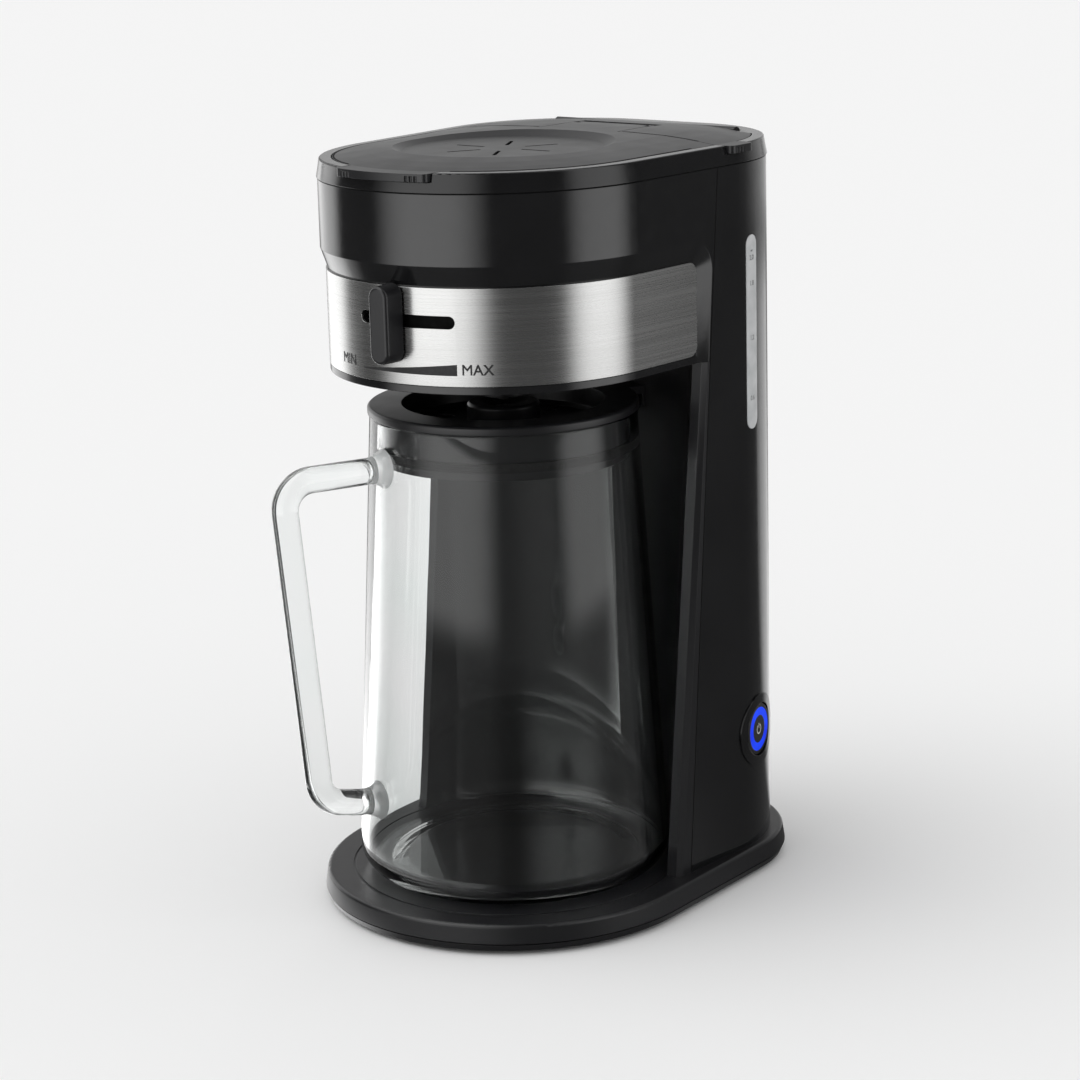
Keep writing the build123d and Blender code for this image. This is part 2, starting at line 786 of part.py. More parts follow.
with BuildPart() as base_plate:
    blend(base_outline(PLATE_INSET[0]), FOOT_H, base_outline(PLATE_INSET[1]), PLATE_TOP)
    prism(spots(SCREW_X, SCREW_Y, SCREW_R), FOOT_H, PLATE_TOP, Mode.SUBTRACT)
    prism(spots(SCREW_X, SCREW_Y, SCREW_HEAD_R), FOOT_H, FOOT_H + SCREW_HEAD_T, Mode.SUBTRACT)
    prism(spots(FOOT_X, FOOT_Y, FOOT_R), FOOT_H, FOOT_H + FOOT_SINK, Mode.SUBTRACT)

with BuildPart() as base_screws:
    prism(spots(SCREW_X, SCREW_Y, SCREW_HEAD_R), FOOT_H, FOOT_H + SCREW_HEAD_T)
    prism(spots(SCREW_X, SCREW_Y, SCREW_R), FOOT_H + SCREW_HEAD_T, PLATE_TOP + SCREW_L)

with BuildPart() as rubber_feet:
    prism(spots(FOOT_X, FOOT_Y, FOOT_R), 0, FOOT_H + FOOT_SINK)
    fillet(rubber_feet.faces().group_by(Axis.Z)[0].edges(), FOOT_EDGE)

# ---------------------------------------------------------------- housings

with BuildPart() as front_housing:
    prism(body_outline(), HEAD_BOTTOM, HOUSING_TOP - SEAM_STEP)
    prism(body_outline(SEAM_STEP), HOUSING_TOP - SEAM_STEP, HOUSING_TOP)
    band_recess()
    prism(lip_plan(), HEAD_BOTTOM, BAND_BOTTOM)
    prism(body_outline(RECESS + WALL), HEAD_BOTTOM + WALL, HOUSING_TOP, Mode.SUBTRACT)
    head_front(Mode.INTERSECT)
    prism(head_floor(), HEAD_BOTTOM, HEAD_BOTTOM + WALL)
    prism(disc(FLOOR_HOLE_R), HEAD_BOTTOM, HEAD_BOTTOM + WALL, Mode.SUBTRACT)
    slot_cut()

with BuildPart() as column_panel:
    prism(body_outline(), BASE_TOP, HEAD_BOTTOM)
    column_loft(seam_profile, Mode.INTERSECT)
    column_loft(bay_profile, Mode.SUBTRACT)

with BuildPart() as rear_housing:
    prism(body_outline(), BASE_TOP, HOUSING_TOP - SEAM_STEP)
    prism(body_outline(SEAM_STEP), HOUSING_TOP - SEAM_STEP, HOUSING_TOP)
    prism(body_outline(WALL), BASE_TOP, HOUSING_TOP, Mode.SUBTRACT)
    column_loft(seam_profile, Mode.SUBTRACT)
    head_front(Mode.SUBTRACT)
    with BuildSketch(flank_plane(GAUGE_NORMAL, GAUGE_Z, -WALL * 2)) as gauge_slot:
        SlotOverall(GAUGE_HIGH - GAUGE_LOW, GAUGE_W, rotation=90)
    extrude(gauge_slot.sketch, amount=WALL * 3, mode=Mode.SUBTRACT)
    with BuildSketch(flank_plane(POWER_NORMAL, POWER_Z, -WALL * 3)) as power_hole:
        Circle(POWER_HOLE_R)
    extrude(power_hole.sketch, amount=WALL * 4, mode=Mode.SUBTRACT)
    with BuildSketch(rear_plane(-WALL * 2)) as gland_hole:
        with Locations((-GLAND_X, GLAND_Z)):
            Circle(GLAND_R)
    extrude(gland_hole.sketch, amount=WALL * 3, mode=Mode.SUBTRACT)

# ---------------------------------------------------------------- top bezel and lids

with BuildPart() as top_bezel:
    blend(body_outline(-PROUD), HOUSING_TOP, body_outline(RIM_DRAFT - PROUD), RIM_TOP)
    fillet(top_bezel.faces().sort_by(Axis.Z)[-1].edges(), RIM_EDGE)
    prism(lids_recess(), DECK_TOP, RIM_TOP, Mode.SUBTRACT)
    prism(front_tab(GAP, TAB_REACH + TAB_ROUND), DECK_TOP, RIM_TOP, Mode.SUBTRACT)
    prism(side_tab(GAP, TAB_REACH + TAB_ROUND), DECK_TOP, RIM_TOP, Mode.SUBTRACT)
    prism(disc(BASKET_R + SLIP), HOUSING_TOP, DECK_TOP, Mode.SUBTRACT)
    prism(disc(BASKET_R + BASKET_FLANGE + SLIP), BASKET_SEAT, DECK_TOP, Mode.SUBTRACT)
    for s in (1, -1):
        x0, x1 = sorted((s * MOUTH_X[0], s * MOUTH_X[1]))
        prism(oblong(x0, x1, *MOUTH_Y, MOUTH_CORNER), HOUSING_TOP, DECK_TOP, Mode.SUBTRACT)
        x0, x1 = sorted((s * (KNUCKLE_HALF + SLIP), s * (KNUCKLE_HALF + SLIP + EAR_T)))
        prism(oblong(x0, x1, HINGE_Y - KNUCKLE_R, HINGE_Y + KNUCKLE_R), DECK_TOP, HINGE_Z)
        rod(x0, x1, HINGE_Y, HINGE_Z, KNUCKLE_R)
    pocket = KNUCKLE_HALF + SLIP
    rod(-pocket, pocket, HINGE_Y, HINGE_Z, KNUCKLE_R + SLIP, Mode.SUBTRACT)
    trough = TANK_LID_HALF + GAP
    rod(-trough, trough, TANK_HINGE_Y, HINGE_Z, TANK_ROUND + SLIP, Mode.SUBTRACT)
    ear = pocket + EAR_T - LID_PIN_END + PROUD
    rod(-ear, ear, HINGE_Y, HINGE_Z, LID_PIN_R + PIN_SLIP, Mode.SUBTRACT)
    reach = TANK_LID_HALF + GAP + TANK_PIN_L
    rod(-reach, reach, TANK_HINGE_Y, HINGE_Z, LID_PIN_R + PIN_SLIP, Mode.SUBTRACT)
    prism(disc(PORT_R, *PORT), HOUSING_TOP, DECK_TOP, Mode.SUBTRACT)

with BuildPart() as brew_lid:
    crowned_slab()
    with BuildSketch() as brew_plan:
        add(oblong(-FAR / 4, FAR / 4, -FAR / 2, SEAM_Y - GAP / 2))
        tongue = TONGUE_HALF - GAP / 2
        add(oblong(-tongue, tongue, 0, HINGE_Y - KNUCKLE_R - GAP))
        add(oblong(-KNUCKLE_HALF, KNUCKLE_HALF, 0, HINGE_Y))
    prism(brew_plan.sketch, LID_BOTTOM, RIM_TOP + CROWN, Mode.INTERSECT)
    rod(-KNUCKLE_HALF, KNUCKLE_HALF, HINGE_Y, HINGE_Z, KNUCKLE_R)
    prism(front_tab(), LID_BOTTOM, RIM_TOP)
    grooves(front_grooves())
    dish_top = RIM_TOP + CROWN
    dish_floor = disc(DISH_R - DISH_SLOPE, 0, DISH_Y)
    blend(dish_floor, dish_top - DISH_DEPTH - DISH_SINK, disc(DISH_R, 0, DISH_Y), dish_top, Mode.SUBTRACT)
    rod(-KNUCKLE_HALF, KNUCKLE_HALF, HINGE_Y, HINGE_Z, LID_PIN_R, Mode.SUBTRACT)
    prism(disc(POCKET_R), LID_BOTTOM, LID_BOTTOM + POCKET_DEPTH, Mode.SUBTRACT)
    with BuildSketch() as vents:
        with Locations((0, DISH_Y)):
            with PolarLocations((VENT_IN + VENT_OUT) / 2, VENTS):
                SlotOverall(VENT_OUT - VENT_IN, VENT_W)
    prism(vents.sketch, LID_BOTTOM, RIM_TOP + CROWN, Mode.SUBTRACT)

with BuildPart() as brew_hinge_pin:
    pin_half = KNUCKLE_HALF + SLIP + EAR_T - LID_PIN_END
    rod(-pin_half, pin_half, HINGE_Y, HINGE_Z, LID_PIN_R)

with BuildPart() as tank_lid:
    crowned_slab()
    with BuildSketch() as tank_plan:
        add(oblong(-FAR / 4, FAR / 4, SEAM_Y + GAP / 2, TANK_LID_SHOULDER))
        add(oblong(-TANK_LID_HALF, TANK_LID_HALF, SEAM_Y + GAP / 2, TANK_HINGE_Y))
        notch = TONGUE_HALF + GAP / 2
        tongue_rise = crown_rise(BODY_REAR - RIM_W - GAP - HINGE_Y) + HINGE_DROP
        add(oblong(-notch, notch, 0, HINGE_Y + tongue_rise + GAP), mode=Mode.SUBTRACT)
    prism(tank_plan.sketch, LID_BOTTOM, RIM_TOP + CROWN, Mode.INTERSECT)
    rod(-TANK_LID_HALF, TANK_LID_HALF, TANK_HINGE_Y, HINGE_Z, TANK_ROUND)
    prism(side_tab(), LID_BOTTOM, RIM_TOP)
    grooves(side_grooves())
    for s in (1, -1):
        x0, x1 = sorted((s * (TANK_LID_HALF - TANK_PIN_DEPTH), s * TANK_LID_HALF))
        rod(x0, x1, TANK_HINGE_Y, HINGE_Z, LID_PIN_R, Mode.SUBTRACT)

with BuildPart() as tank_hinge_pins:
    for s in (1, -1):
        tip = TANK_LID_HALF + GAP + TANK_PIN_L - SLIP
        x0, x1 = sorted((s * (TANK_LID_HALF - TANK_PIN_DEPTH), s * tip))
        rod(x0, x1, TANK_HINGE_Y, HINGE_Z, LID_PIN_R)

# ---------------------------------------------------------------- steel band and selector

with BuildPart() as steel_band:
    prism(body_outline(RECESS - BAND_T), BAND_BOTTOM + BAND_PLAY, BAND_TOP - BAND_PLAY)
    prism(body_outline(RECESS), BAND_BOTTOM, BAND_TOP, Mode.SUBTRACT)
    with BuildSketch(SIDE) as band_side:
        with Locations((BAND_END_Y - FAR / 2, (BAND_BOTTOM + BAND_TOP) / 2)):
            RectangleRounded(FAR, BAND_H - 2 * BAND_PLAY, BAND_CORNER)
    extrude(band_side.sketch, amount=FAR / 2, both=True, mode=Mode.INTERSECT)
    slot_cut()

with BuildPart() as selector_slider:
    outer = FRONT_R - RECESS - WALL - SLIP
    plan = sector(outer - SLIDER_T, outer, KNOB_AZ - SLIDER_HALF_AZ, KNOB_AZ + SLIDER_HALF_AZ)
    prism(plan, SLOT_Z - SLIDER_H / 2, SLOT_Z + SLIDER_H / 2)
    stem = sector(outer - SLIDER_T, BAND_R + KNOB_GAP, KNOB_AZ - STEM_HALF_AZ, KNOB_AZ + STEM_HALF_AZ)
    prism(stem, SLOT_Z - SLOT_H / 2 + SLIP, SLOT_Z + SLOT_H / 2 - SLIP)

with BuildPart() as strength_knob:
    with BuildSketch(radial_plane(KNOB_AZ, BAND_R + KNOB_GAP, KNOB_Z)) as knob_face:
        SlotOverall(KNOB_H, KNOB_W, rotation=90)
    extrude(knob_face.sketch, amount=KNOB_DEPTH, taper=KNOB_DRAFT)
    fillet(strength_knob.faces().sort_by(Axis.Y)[0].edges(), KNOB_EDGE)

# ---------------------------------------------------------------- basket and drip valve

with BuildPart() as brew_basket:
    turned(
        [
            (OUTLET_HOLE_R, OUTLET_BOTTOM),
            (OUTLET_R, OUTLET_BOTTOM),
            (OUTLET_R, BASKET_BOTTOM),
            (BASKET_BOTTOM_R, BASKET_BOTTOM),
            (BASKET_R, BASKET_SEAT),
            (BASKET_R + BASKET_FLANGE, BASKET_SEAT),
            (BASKET_R + BASKET_FLANGE, FLANGE_TOP),
            (basket_radius(FLANGE_TOP) - BASKET_T, FLANGE_TOP),
            (BASKET_BOTTOM_R - BASKET_T, BASKET_BOTTOM + BASKET_T),
            (BORE_R, BASKET_BOTTOM + BASKET_T),
            (BORE_R, SEAT_Z),
            (OUTLET_HOLE_R, SEAT_Z),
        ],
        0,
    )

with BuildPart() as filter_cup:
    top_r = basket_radius(FLANGE_TOP) - BASKET_T - FILTER_GAP
    low_r = basket_radius(FILTER_BOTTOM) - BASKET_T - FILTER_GAP
    turned(
        [
            (0, FILTER_BOTTOM),
            (low_r, FILTER_BOTTOM),
            (top_r, FLANGE_TOP),
            (top_r + FILTER_LIP, FLANGE_TOP),
            (top_r + FILTER_LIP, FLANGE_TOP + FILTER_T),
            (top_r - FILTER_T, FLANGE_TOP + FILTER_T),
            (low_r - FILTER_T, FILTER_BOTTOM + FILTER_T),
            (0, FILTER_BOTTOM + FILTER_T),
        ],
        0,
    )

with BuildPart() as lid_spreader:
    top = LID_BOTTOM + POCKET_DEPTH
    prism(disc(SPREADER_R), top - SPREADER_H, top)
    prism(disc(SPREADER_R - SPREADER_T), top - SPREADER_H + SPREADER_T, top, Mode.SUBTRACT)
    with BuildSketch() as spray:
        for share, count in SPRAY_RINGS:
            with PolarLocations(SPREADER_R * share, count):
                Circle(SPRAY_HOLE_R)
    prism(spray.sketch, top - SPREADER_H, top, Mode.SUBTRACT)

with BuildPart() as valve_retainer:
    prism(washer(BORE_R, VALVE_STEM_R + STEM_SLIP), RETAINER_Z, RETAINER_Z + RETAINER_T)
    with BuildSketch() as drain:
        with PolarLocations((BORE_R + VALVE_STEM_R) / 2, RETAINER_HOLES):
            Circle(RETAINER_HOLE_R)
    prism(drain.sketch, RETAINER_Z, RETAINER_Z + RETAINER_T, Mode.SUBTRACT)

with BuildPart() as drip_valve:
    prism(disc(VALVE_STEM_R), OUTLET_BOTTOM - VALVE_PROUD, RETAINER_Z + VALVE_TAIL)
    prism(disc(VALVE_DISC_R), SEAT_Z + SLIP, SEAT_Z + VALVE_DISC_T)

with BuildPart() as valve_spring:
    low = SEAT_Z + VALVE_DISC_T + SPRING_WIRE_R + SPRING_PLAY
    height = RETAINER_Z - SPRING_WIRE_R - SPRING_PLAY - low
    with BuildLine() as coil:
        Helix(pitch=height / SPRING_TURNS, height=height, radius=SPRING_R, center=(0, AXIS_Y, low))
    with BuildSketch(Plane(coil.line @ 0, z_dir=coil.line % 0)):
        Circle(SPRING_WIRE_R)
    sweep(path=coil.line, is_frenet=True)

# ---------------------------------------------------------------- jug

with BuildPart() as jug_glass:
    inner_low = jug_radius(JUG_BOTTOM + JUG_FLOOR) - JUG_WALL
    inner_round = JUG_FOOT_ROUND - JUG_WALL
    with BuildSketch(SECTION) as jug_section:
        with BuildLine():
            FilletPolyline(
                (0, JUG_BOTTOM),
                (JUG_FOOT_R, JUG_BOTTOM),
                (JUG_RIM_R, JUG_RIM_Z),
                radius=JUG_FOOT_ROUND,
            )
            Line((JUG_RIM_R, JUG_RIM_Z), (JUG_RIM_R - JUG_WALL, JUG_RIM_Z))
            FilletPolyline(
                (JUG_RIM_R - JUG_WALL, JUG_RIM_Z),
                (inner_low, JUG_BOTTOM + JUG_FLOOR),
                (0, JUG_BOTTOM + JUG_FLOOR),
                radius=inner_round,
            )
            Line((0, JUG_BOTTOM + JUG_FLOOR), (0, JUG_BOTTOM))
        make_face()
    revolve(jug_section.sketch, axis=BREW_AXIS)

with BuildPart() as jug_handle:
    lean = math.radians(HANDLE_LEAN)
    corner_r = HANDLE_REACH + HANDLE_BEND * ((1 + math.sin(lean)) / math.cos(lean) - 1)
    low_r = corner_r - (HANDLE_TOP_Z - HANDLE_LOW_Z) * math.tan(lean)
    start_r = jug_radius(HANDLE_TOP_Z) - FLARE_R / 3
    end_r = jug_radius(HANDLE_END_Z) - FLARE_R / 3
    with BuildLine(upright(HANDLE_AZ)) as grip:
        FilletPolyline(
            (start_r, HANDLE_TOP_Z),
            (corner_r, HANDLE_TOP_Z),
            (low_r, HANDLE_LOW_Z),
            (end_r, HANDLE_END_Z),
            radius=HANDLE_BEND,
        )
    with BuildSketch(Plane(grip.line @ 0, z_dir=grip.line % 0)) as grip_section:
        Circle(GRIP_R)
    sweep(grip_section.sketch, path=grip.line)
    flare = math.degrees(math.atan2(FLARE_R - GRIP_R, FLARE_L))
    for end, way in ((grip.line @ 0, grip.line % 0), (grip.line @ 1, (grip.line % 1) * -1)):
        with BuildSketch(Plane(end, z_dir=way)) as flare_section:
            Circle(FLARE_R)
        extrude(flare_section.sketch, amount=FLARE_L, taper=flare)
    blend(disc(jug_radius(0)), 0, disc(jug_radius(HEAD_BOTTOM)), HEAD_BOTTOM, Mode.SUBTRACT)

with BuildPart() as jug_lid:
    flange_top = JUG_RIM_Z + LID_FLANGE_T
    turned(
        [
            (LID_SKIRT_R - LID_SKIRT_T, LID_SKIRT_Z),
            (LID_SKIRT_R, LID_SKIRT_Z),
            (LID_SKIRT_R, JUG_RIM_Z),
            (LID_FLANGE_R, JUG_RIM_Z),
            (LID_FLANGE_R, flange_top - LID_EDGE),
            (LID_FLANGE_R - LID_EDGE, flange_top),
            (LID_RECESS_R + LID_EDGE, flange_top),
            (LID_RECESS_R, LID_RECESS_Z + LID_SKIRT_T),
            (LID_RECESS_R - LID_SKIRT_T, LID_RECESS_Z),
            (BOSS_R - BOSS_SEAT, LID_RECESS_Z),
            (BOSS_R - BOSS_SEAT, LID_RECESS_Z - LID_SKIRT_T),
            (LID_RECESS_R + LID_SKIRT_T, LID_RECESS_Z - LID_SKIRT_T),
            (LID_RECESS_R + LID_SKIRT_T, JUG_RIM_Z - LID_SKIRT_T),
            (LID_SKIRT_R - LID_SKIRT_T, JUG_RIM_Z - LID_SKIRT_T),
        ],
        0,
    )
    with BuildSketch(level(JUG_RIM_Z)) as spout_plan:
        with Locations((polar((SPOUT_REACH + LID_SKIRT_R) / 2, HANDLE_AZ + 180))):
            Rectangle(2 * SPOUT_HALF, SPOUT_REACH - LID_SKIRT_R, rotation=HANDLE_AZ)
    extrude(spout_plan.sketch, amount=LID_FLANGE_T)
    with BuildSketch(level(JUG_RIM_Z - SPOUT_DROP)) as spout_lip:
        with Locations((polar(SPOUT_REACH - SPOUT_T / 2, HANDLE_AZ + 180))):
            Rectangle(2 * SPOUT_HALF, SPOUT_T, rotation=HANDLE_AZ)
    extrude(spout_lip.sketch, amount=SPOUT_DROP)
    with BuildSketch() as lid_slits:
        with PolarLocations(LID_RECESS_R * LID_SLIT_RING, LID_SLITS):
            SlotOverall(*LID_SLIT)
    prism(lid_slits.sketch, LID_RECESS_Z - LID_SKIRT_T, LID_RECESS_Z, Mode.SUBTRACT)

with BuildPart() as jug_lid_valve:
    neck = BOSS_R - BOSS_SEAT - SLIP / 3
    turned(
        [
            (BOSS_HOLE_R, LID_RECESS_Z - BOSS_NECK_H),
            (neck, LID_RECESS_Z - BOSS_NECK_H),
            (neck, LID_RECESS_Z),
            (BOSS_R, LID_RECESS_Z),
            (BOSS_R, BOSS_TOP - BOSS_EDGE),
            (BOSS_R - BOSS_EDGE, BOSS_TOP),
            (BOSS_R - BOSS_RIM, BOSS_TOP),
            (BOSS_HOLE_R, BOSS_TOP - BOSS_DISH),
        ],
        0,
    )

with BuildPart() as jug_lid_seal:
    seal_low = jug_radius(SEAL_Z) - JUG_WALL
    seal_high = jug_radius(SEAL_Z + SEAL_H) - JUG_WALL
    turned(
        [
            (LID_SKIRT_R, SEAL_Z),
            (seal_low, SEAL_Z),
            (seal_high, SEAL_Z + SEAL_H),
            (LID_SKIRT_R, SEAL_Z + SEAL_H),
        ],
        0,
    )

# ---------------------------------------------------------------- gauge and power button

with BuildPart() as gauge_window:
    window_h = GAUGE_HIGH - GAUGE_LOW
    low, high = GAUGE_LOW - WINDOW_LIP * 2, GAUGE_HIGH + WINDOW_LIP * 2
    back = WALL + WINDOW_LIP_T
    lip = capsule(window_h + 2 * WINDOW_LIP, GAUGE_W + 2 * WINDOW_LIP)
    flank_shape(GAUGE_NORMAL, GAUGE_Z, lip, -back * 2, 0)
    prism(body_outline(WALL), low, high, Mode.INTERSECT)
    pane = capsule(window_h - 2 * WINDOW_SLIP, GAUGE_W - 2 * WINDOW_SLIP)
    flank_shape(GAUGE_NORMAL, GAUGE_Z, pane, -back * 2, WALL)
    prism(body_outline(-WINDOW_PROUD), low, high, Mode.INTERSECT)
    prism(body_outline(back), low, high, Mode.SUBTRACT)

with BuildPart() as power_bezel:
    flank_shape(POWER_NORMAL, POWER_Z, disc(POWER_DISH_R), -WALL * 2, WALL)
    low, high = POWER_Z - POWER_DISH_R - WALL, POWER_Z + POWER_DISH_R + WALL
    prism(body_outline(), low, high, Mode.SUBTRACT)
    tube = disc(POWER_HOLE_R - WINDOW_SLIP)
    flank_shape(POWER_NORMAL, POWER_Z, tube, -POWER_TUBE_L, WALL)
    prism(body_outline(-POWER_PROUD), low, high, Mode.INTERSECT)
    bore = disc(POWER_CAP_R + POWER_SLIP)
    flank_shape(POWER_NORMAL, POWER_Z, bore, -POWER_TUBE_L, WALL, Mode.SUBTRACT)

with BuildPart() as power_button:
    flank_shape(POWER_NORMAL, POWER_Z, disc(POWER_CAP_R), -POWER_CAP_L, -WINDOW_SLIP)
    fillet(power_button.edges().group_by(Axis.X)[-1], POWER_EDGE)
    flank_shape(POWER_NORMAL, POWER_Z, washer(LIGHT_OUT_R, LIGHT_IN_R), -LIGHT_T, 0, Mode.SUBTRACT)

with BuildPart() as light_ring:
    flank_shape(POWER_NORMAL, POWER_Z, washer(LIGHT_OUT_R, LIGHT_IN_R), -LIGHT_T, -WINDOW_SLIP)

with BuildPart() as power_switch:
    back = -POWER_TUBE_L
    rear = back - SWITCH_CAP_T
    half = SWITCH_W / 2
    flank_shape(POWER_NORMAL, POWER_Z, disc(POWER_HOLE_R - WINDOW_SLIP), rear, back)
    flank_shape(POWER_NORMAL, POWER_Z, disc(PLUNGER_R), back, -POWER_CAP_L - POWER_TRAVEL - POWER_SLIP)
    flank_shape(POWER_NORMAL, POWER_Z, oblong(-half, half, -half, half), rear - SWITCH_L, rear)

# ---------------------------------------------------------------- water path

with BuildPart() as water_tank:
    prism(tank_plan_at(TANK_FRONT_Y, 0), TANK_STEP_Z, HOUSING_TOP)
    prism(tank_plan_at(TANK_LOW_Y, 0), TANK_BOTTOM, TANK_STEP_Z)
    prism(tank_plan_at(TANK_FRONT_Y, TANK_T), TANK_STEP_Z + TANK_T, HOUSING_TOP, Mode.SUBTRACT)
    prism(tank_plan_at(TANK_LOW_Y, TANK_T), TANK_BOTTOM + TANK_T, TANK_STEP_Z + TANK_T, Mode.SUBTRACT)
    prism(disc(HOSE_BORE_R, *TANK_OUTLET), TANK_BOTTOM - NIPPLE_L, TANK_BOTTOM + TANK_T)
    outlet_bore = disc(HOSE_BORE_R - NIPPLE_T, *TANK_OUTLET)
    prism(outlet_bore, TANK_BOTTOM - NIPPLE_L, TANK_BOTTOM + TANK_T, Mode.SUBTRACT)

with BuildPart() as heater:
    prism(heater_plan(HEATER_W / 2, 0), HEATER_BOTTOM, HEATER_TOP)
    prism(disc(HOSE_BORE_R, -HEATER_R, ARM_Y), HEATER_TOP, VALVE_TOP + NIPPLE_L / 2)
    pipe_bore = disc(HOSE_BORE_R - NIPPLE_T, -HEATER_R, ARM_Y)
    prism(pipe_bore, HEATER_TOP - HEATER_H / 2, VALVE_TOP + NIPPLE_L / 2, Mode.SUBTRACT)

with BuildPart() as heater_bracket:
    half = HEATER_R + HEATER_W / 2
    prism(oblong(-half, half, HEATER_Y, HEATER_Y + BRACKET_W), HEATER_BOTTOM - BRACKET_T, HEATER_BOTTOM)
    for s in (1, -1):
        x0, x1 = sorted((s * half, s * (half - BRACKET_T)))
        prism(oblong(x0, x1, HEATER_Y, HEATER_Y + BRACKET_W), BASE_TOP, HEATER_BOTTOM - BRACKET_T)

with BuildPart() as thermostat:
    mid_y = HEATER_Y + HEATER_R
    thickness, width, height = TERMINAL
    prism(disc(THERMOSTAT_R, 0, mid_y), HEATER_TOP, HEATER_TOP + THERMOSTAT_H)
    for x in (TERMINAL_X, -TERMINAL_X):
        terminal = oblong(x - thickness / 2, x + thickness / 2, mid_y - width / 2, mid_y + width / 2)
        prism(terminal, HEATER_TOP + THERMOSTAT_H, HEATER_TOP + THERMOSTAT_H + height)

with BuildPart() as check_valve:
    prism(disc(CHECK_R, HEATER_R, ARM_Y), HEATER_TOP, VALVE_TOP)
    prism(disc(HOSE_BORE_R, HEATER_R, ARM_Y), VALVE_TOP, VALVE_TOP + NIPPLE_L)
    prism(disc(HOSE_BORE_R - NIPPLE_T, HEATER_R, ARM_Y), HEATER_TOP, VALVE_TOP + NIPPLE_L, Mode.SUBTRACT)

with BuildPart() as feed_hose:
    tank_x, tank_y = TANK_OUTLET
    hose(
        [
            (HEATER_R, ARM_Y, VALVE_TOP),
            (HEATER_R, ARM_Y, VALVE_TOP + FEED_STRAIGHT),
            (tank_x, tank_y, TANK_BOTTOM - FEED_STRAIGHT),
            (tank_x, tank_y, TANK_BOTTOM),
        ],
        [FEED_BEND, FEED_BEND],
    )

with BuildPart() as riser_hose:
    port_x, port_y = PORT
    hose(
        [
            (-HEATER_R, ARM_Y, VALVE_TOP),
            (-HEATER_R, ARM_Y, VALVE_TOP + RISER_CROSS[0]),
            (*RISER_SIDE, VALVE_TOP + RISER_CROSS[1]),
            (*RISER_SIDE, HOUSING_TOP - RISER_TURNS[0]),
            (RISER_SIDE[0], RISER_FRONT_Y, HOUSING_TOP - RISER_TURNS[1]),
            (port_x, port_y, HOUSING_TOP - RISER_TURNS[2]),
            (port_x, port_y, HOUSING_TOP),
        ],
        RISER_BENDS,
    )

with BuildPart() as cord_gland:
    with BuildSketch(rear_plane()) as gland_flange:
        with Locations((-GLAND_X, GLAND_Z)):
            Circle(GLAND_FLANGE_R)
    extrude(gland_flange.sketch, amount=GLAND_FLANGE_T)
    with BuildSketch(rear_plane()) as gland_neck:
        with Locations((-GLAND_X, GLAND_Z)):
            Circle(GLAND_R)
    extrude(gland_neck.sketch, amount=-GLAND_L)
    with BuildSketch(rear_plane(GLAND_FLANGE_T)) as gland_bore:
        with Locations((-GLAND_X, GLAND_Z)):
            Circle(GLAND_BORE_R)
    extrude(gland_bore.sketch, amount=-GLAND_L - GLAND_FLANGE_T, mode=Mode.SUBTRACT)

with BuildPart() as gland_nut:
    with BuildSketch(rear_plane(-WALL)) as nut_section:
        with Locations((-GLAND_X, GLAND_Z)):
            RegularPolygon(GLAND_FLANGE_R, 6)
            Circle(GLAND_R, mode=Mode.SUBTRACT)
    extrude(nut_section.sketch, amount=-NUT_T)

pieces = {
    "base_shell": base_shell,
    "base_plate": base_plate,
    "base_screws": base_screws,
    "rubber_feet": rubber_feet,
    "front_housing": front_housing,
    "column_panel": column_panel,
    "rear_housing": rear_housing,
    "top_bezel": top_bezel,
    "brew_lid": brew_lid,
    "brew_hinge_pin": brew_hinge_pin,
    "lid_spreader": lid_spreader,
    "tank_lid": tank_lid,
    "tank_hinge_pins": tank_hinge_pins,
    "steel_band": steel_band,
    "selector_slider": selector_slider,
    "strength_knob": strength_knob,
    "brew_basket": brew_basket,
    "filter_cup": filter_cup,
    "valve_retainer": valve_retainer,
    "drip_valve": drip_valve,
    "valve_spring": valve_spring,
    "jug_glass": jug_glass,
    "jug_handle": jug_handle,
    "jug_lid": jug_lid,
    "jug_lid_valve": jug_lid_valve,
    "jug_lid_seal": jug_lid_seal,
    "gauge_window": gauge_window,
    "power_bezel": power_bezel,
    "power_button": power_button,
    "light_ring": light_ring,
    "power_switch": power_switch,
    "water_tank": water_tank,
    "heater": heater,
    "heater_bracket": heater_bracket,
    "thermostat": thermostat,
    "check_valve": check_valve,
    "feed_hose": feed_hose,
    "riser_hose": riser_hose,
    "cord_gland": cord_gland,
    "gland_nut": gland_nut,
}
os.makedirs("parts", exist_ok=True)
for name, piece in pieces.items():
    piece.part.label = name
    export_step(piece.part, f"parts/{name}.step")
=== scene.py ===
"""Cold brew coffee maker: finishes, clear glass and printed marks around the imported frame."""

import json
import math

import bmesh
import bpy
from mathutils import Matrix, Vector


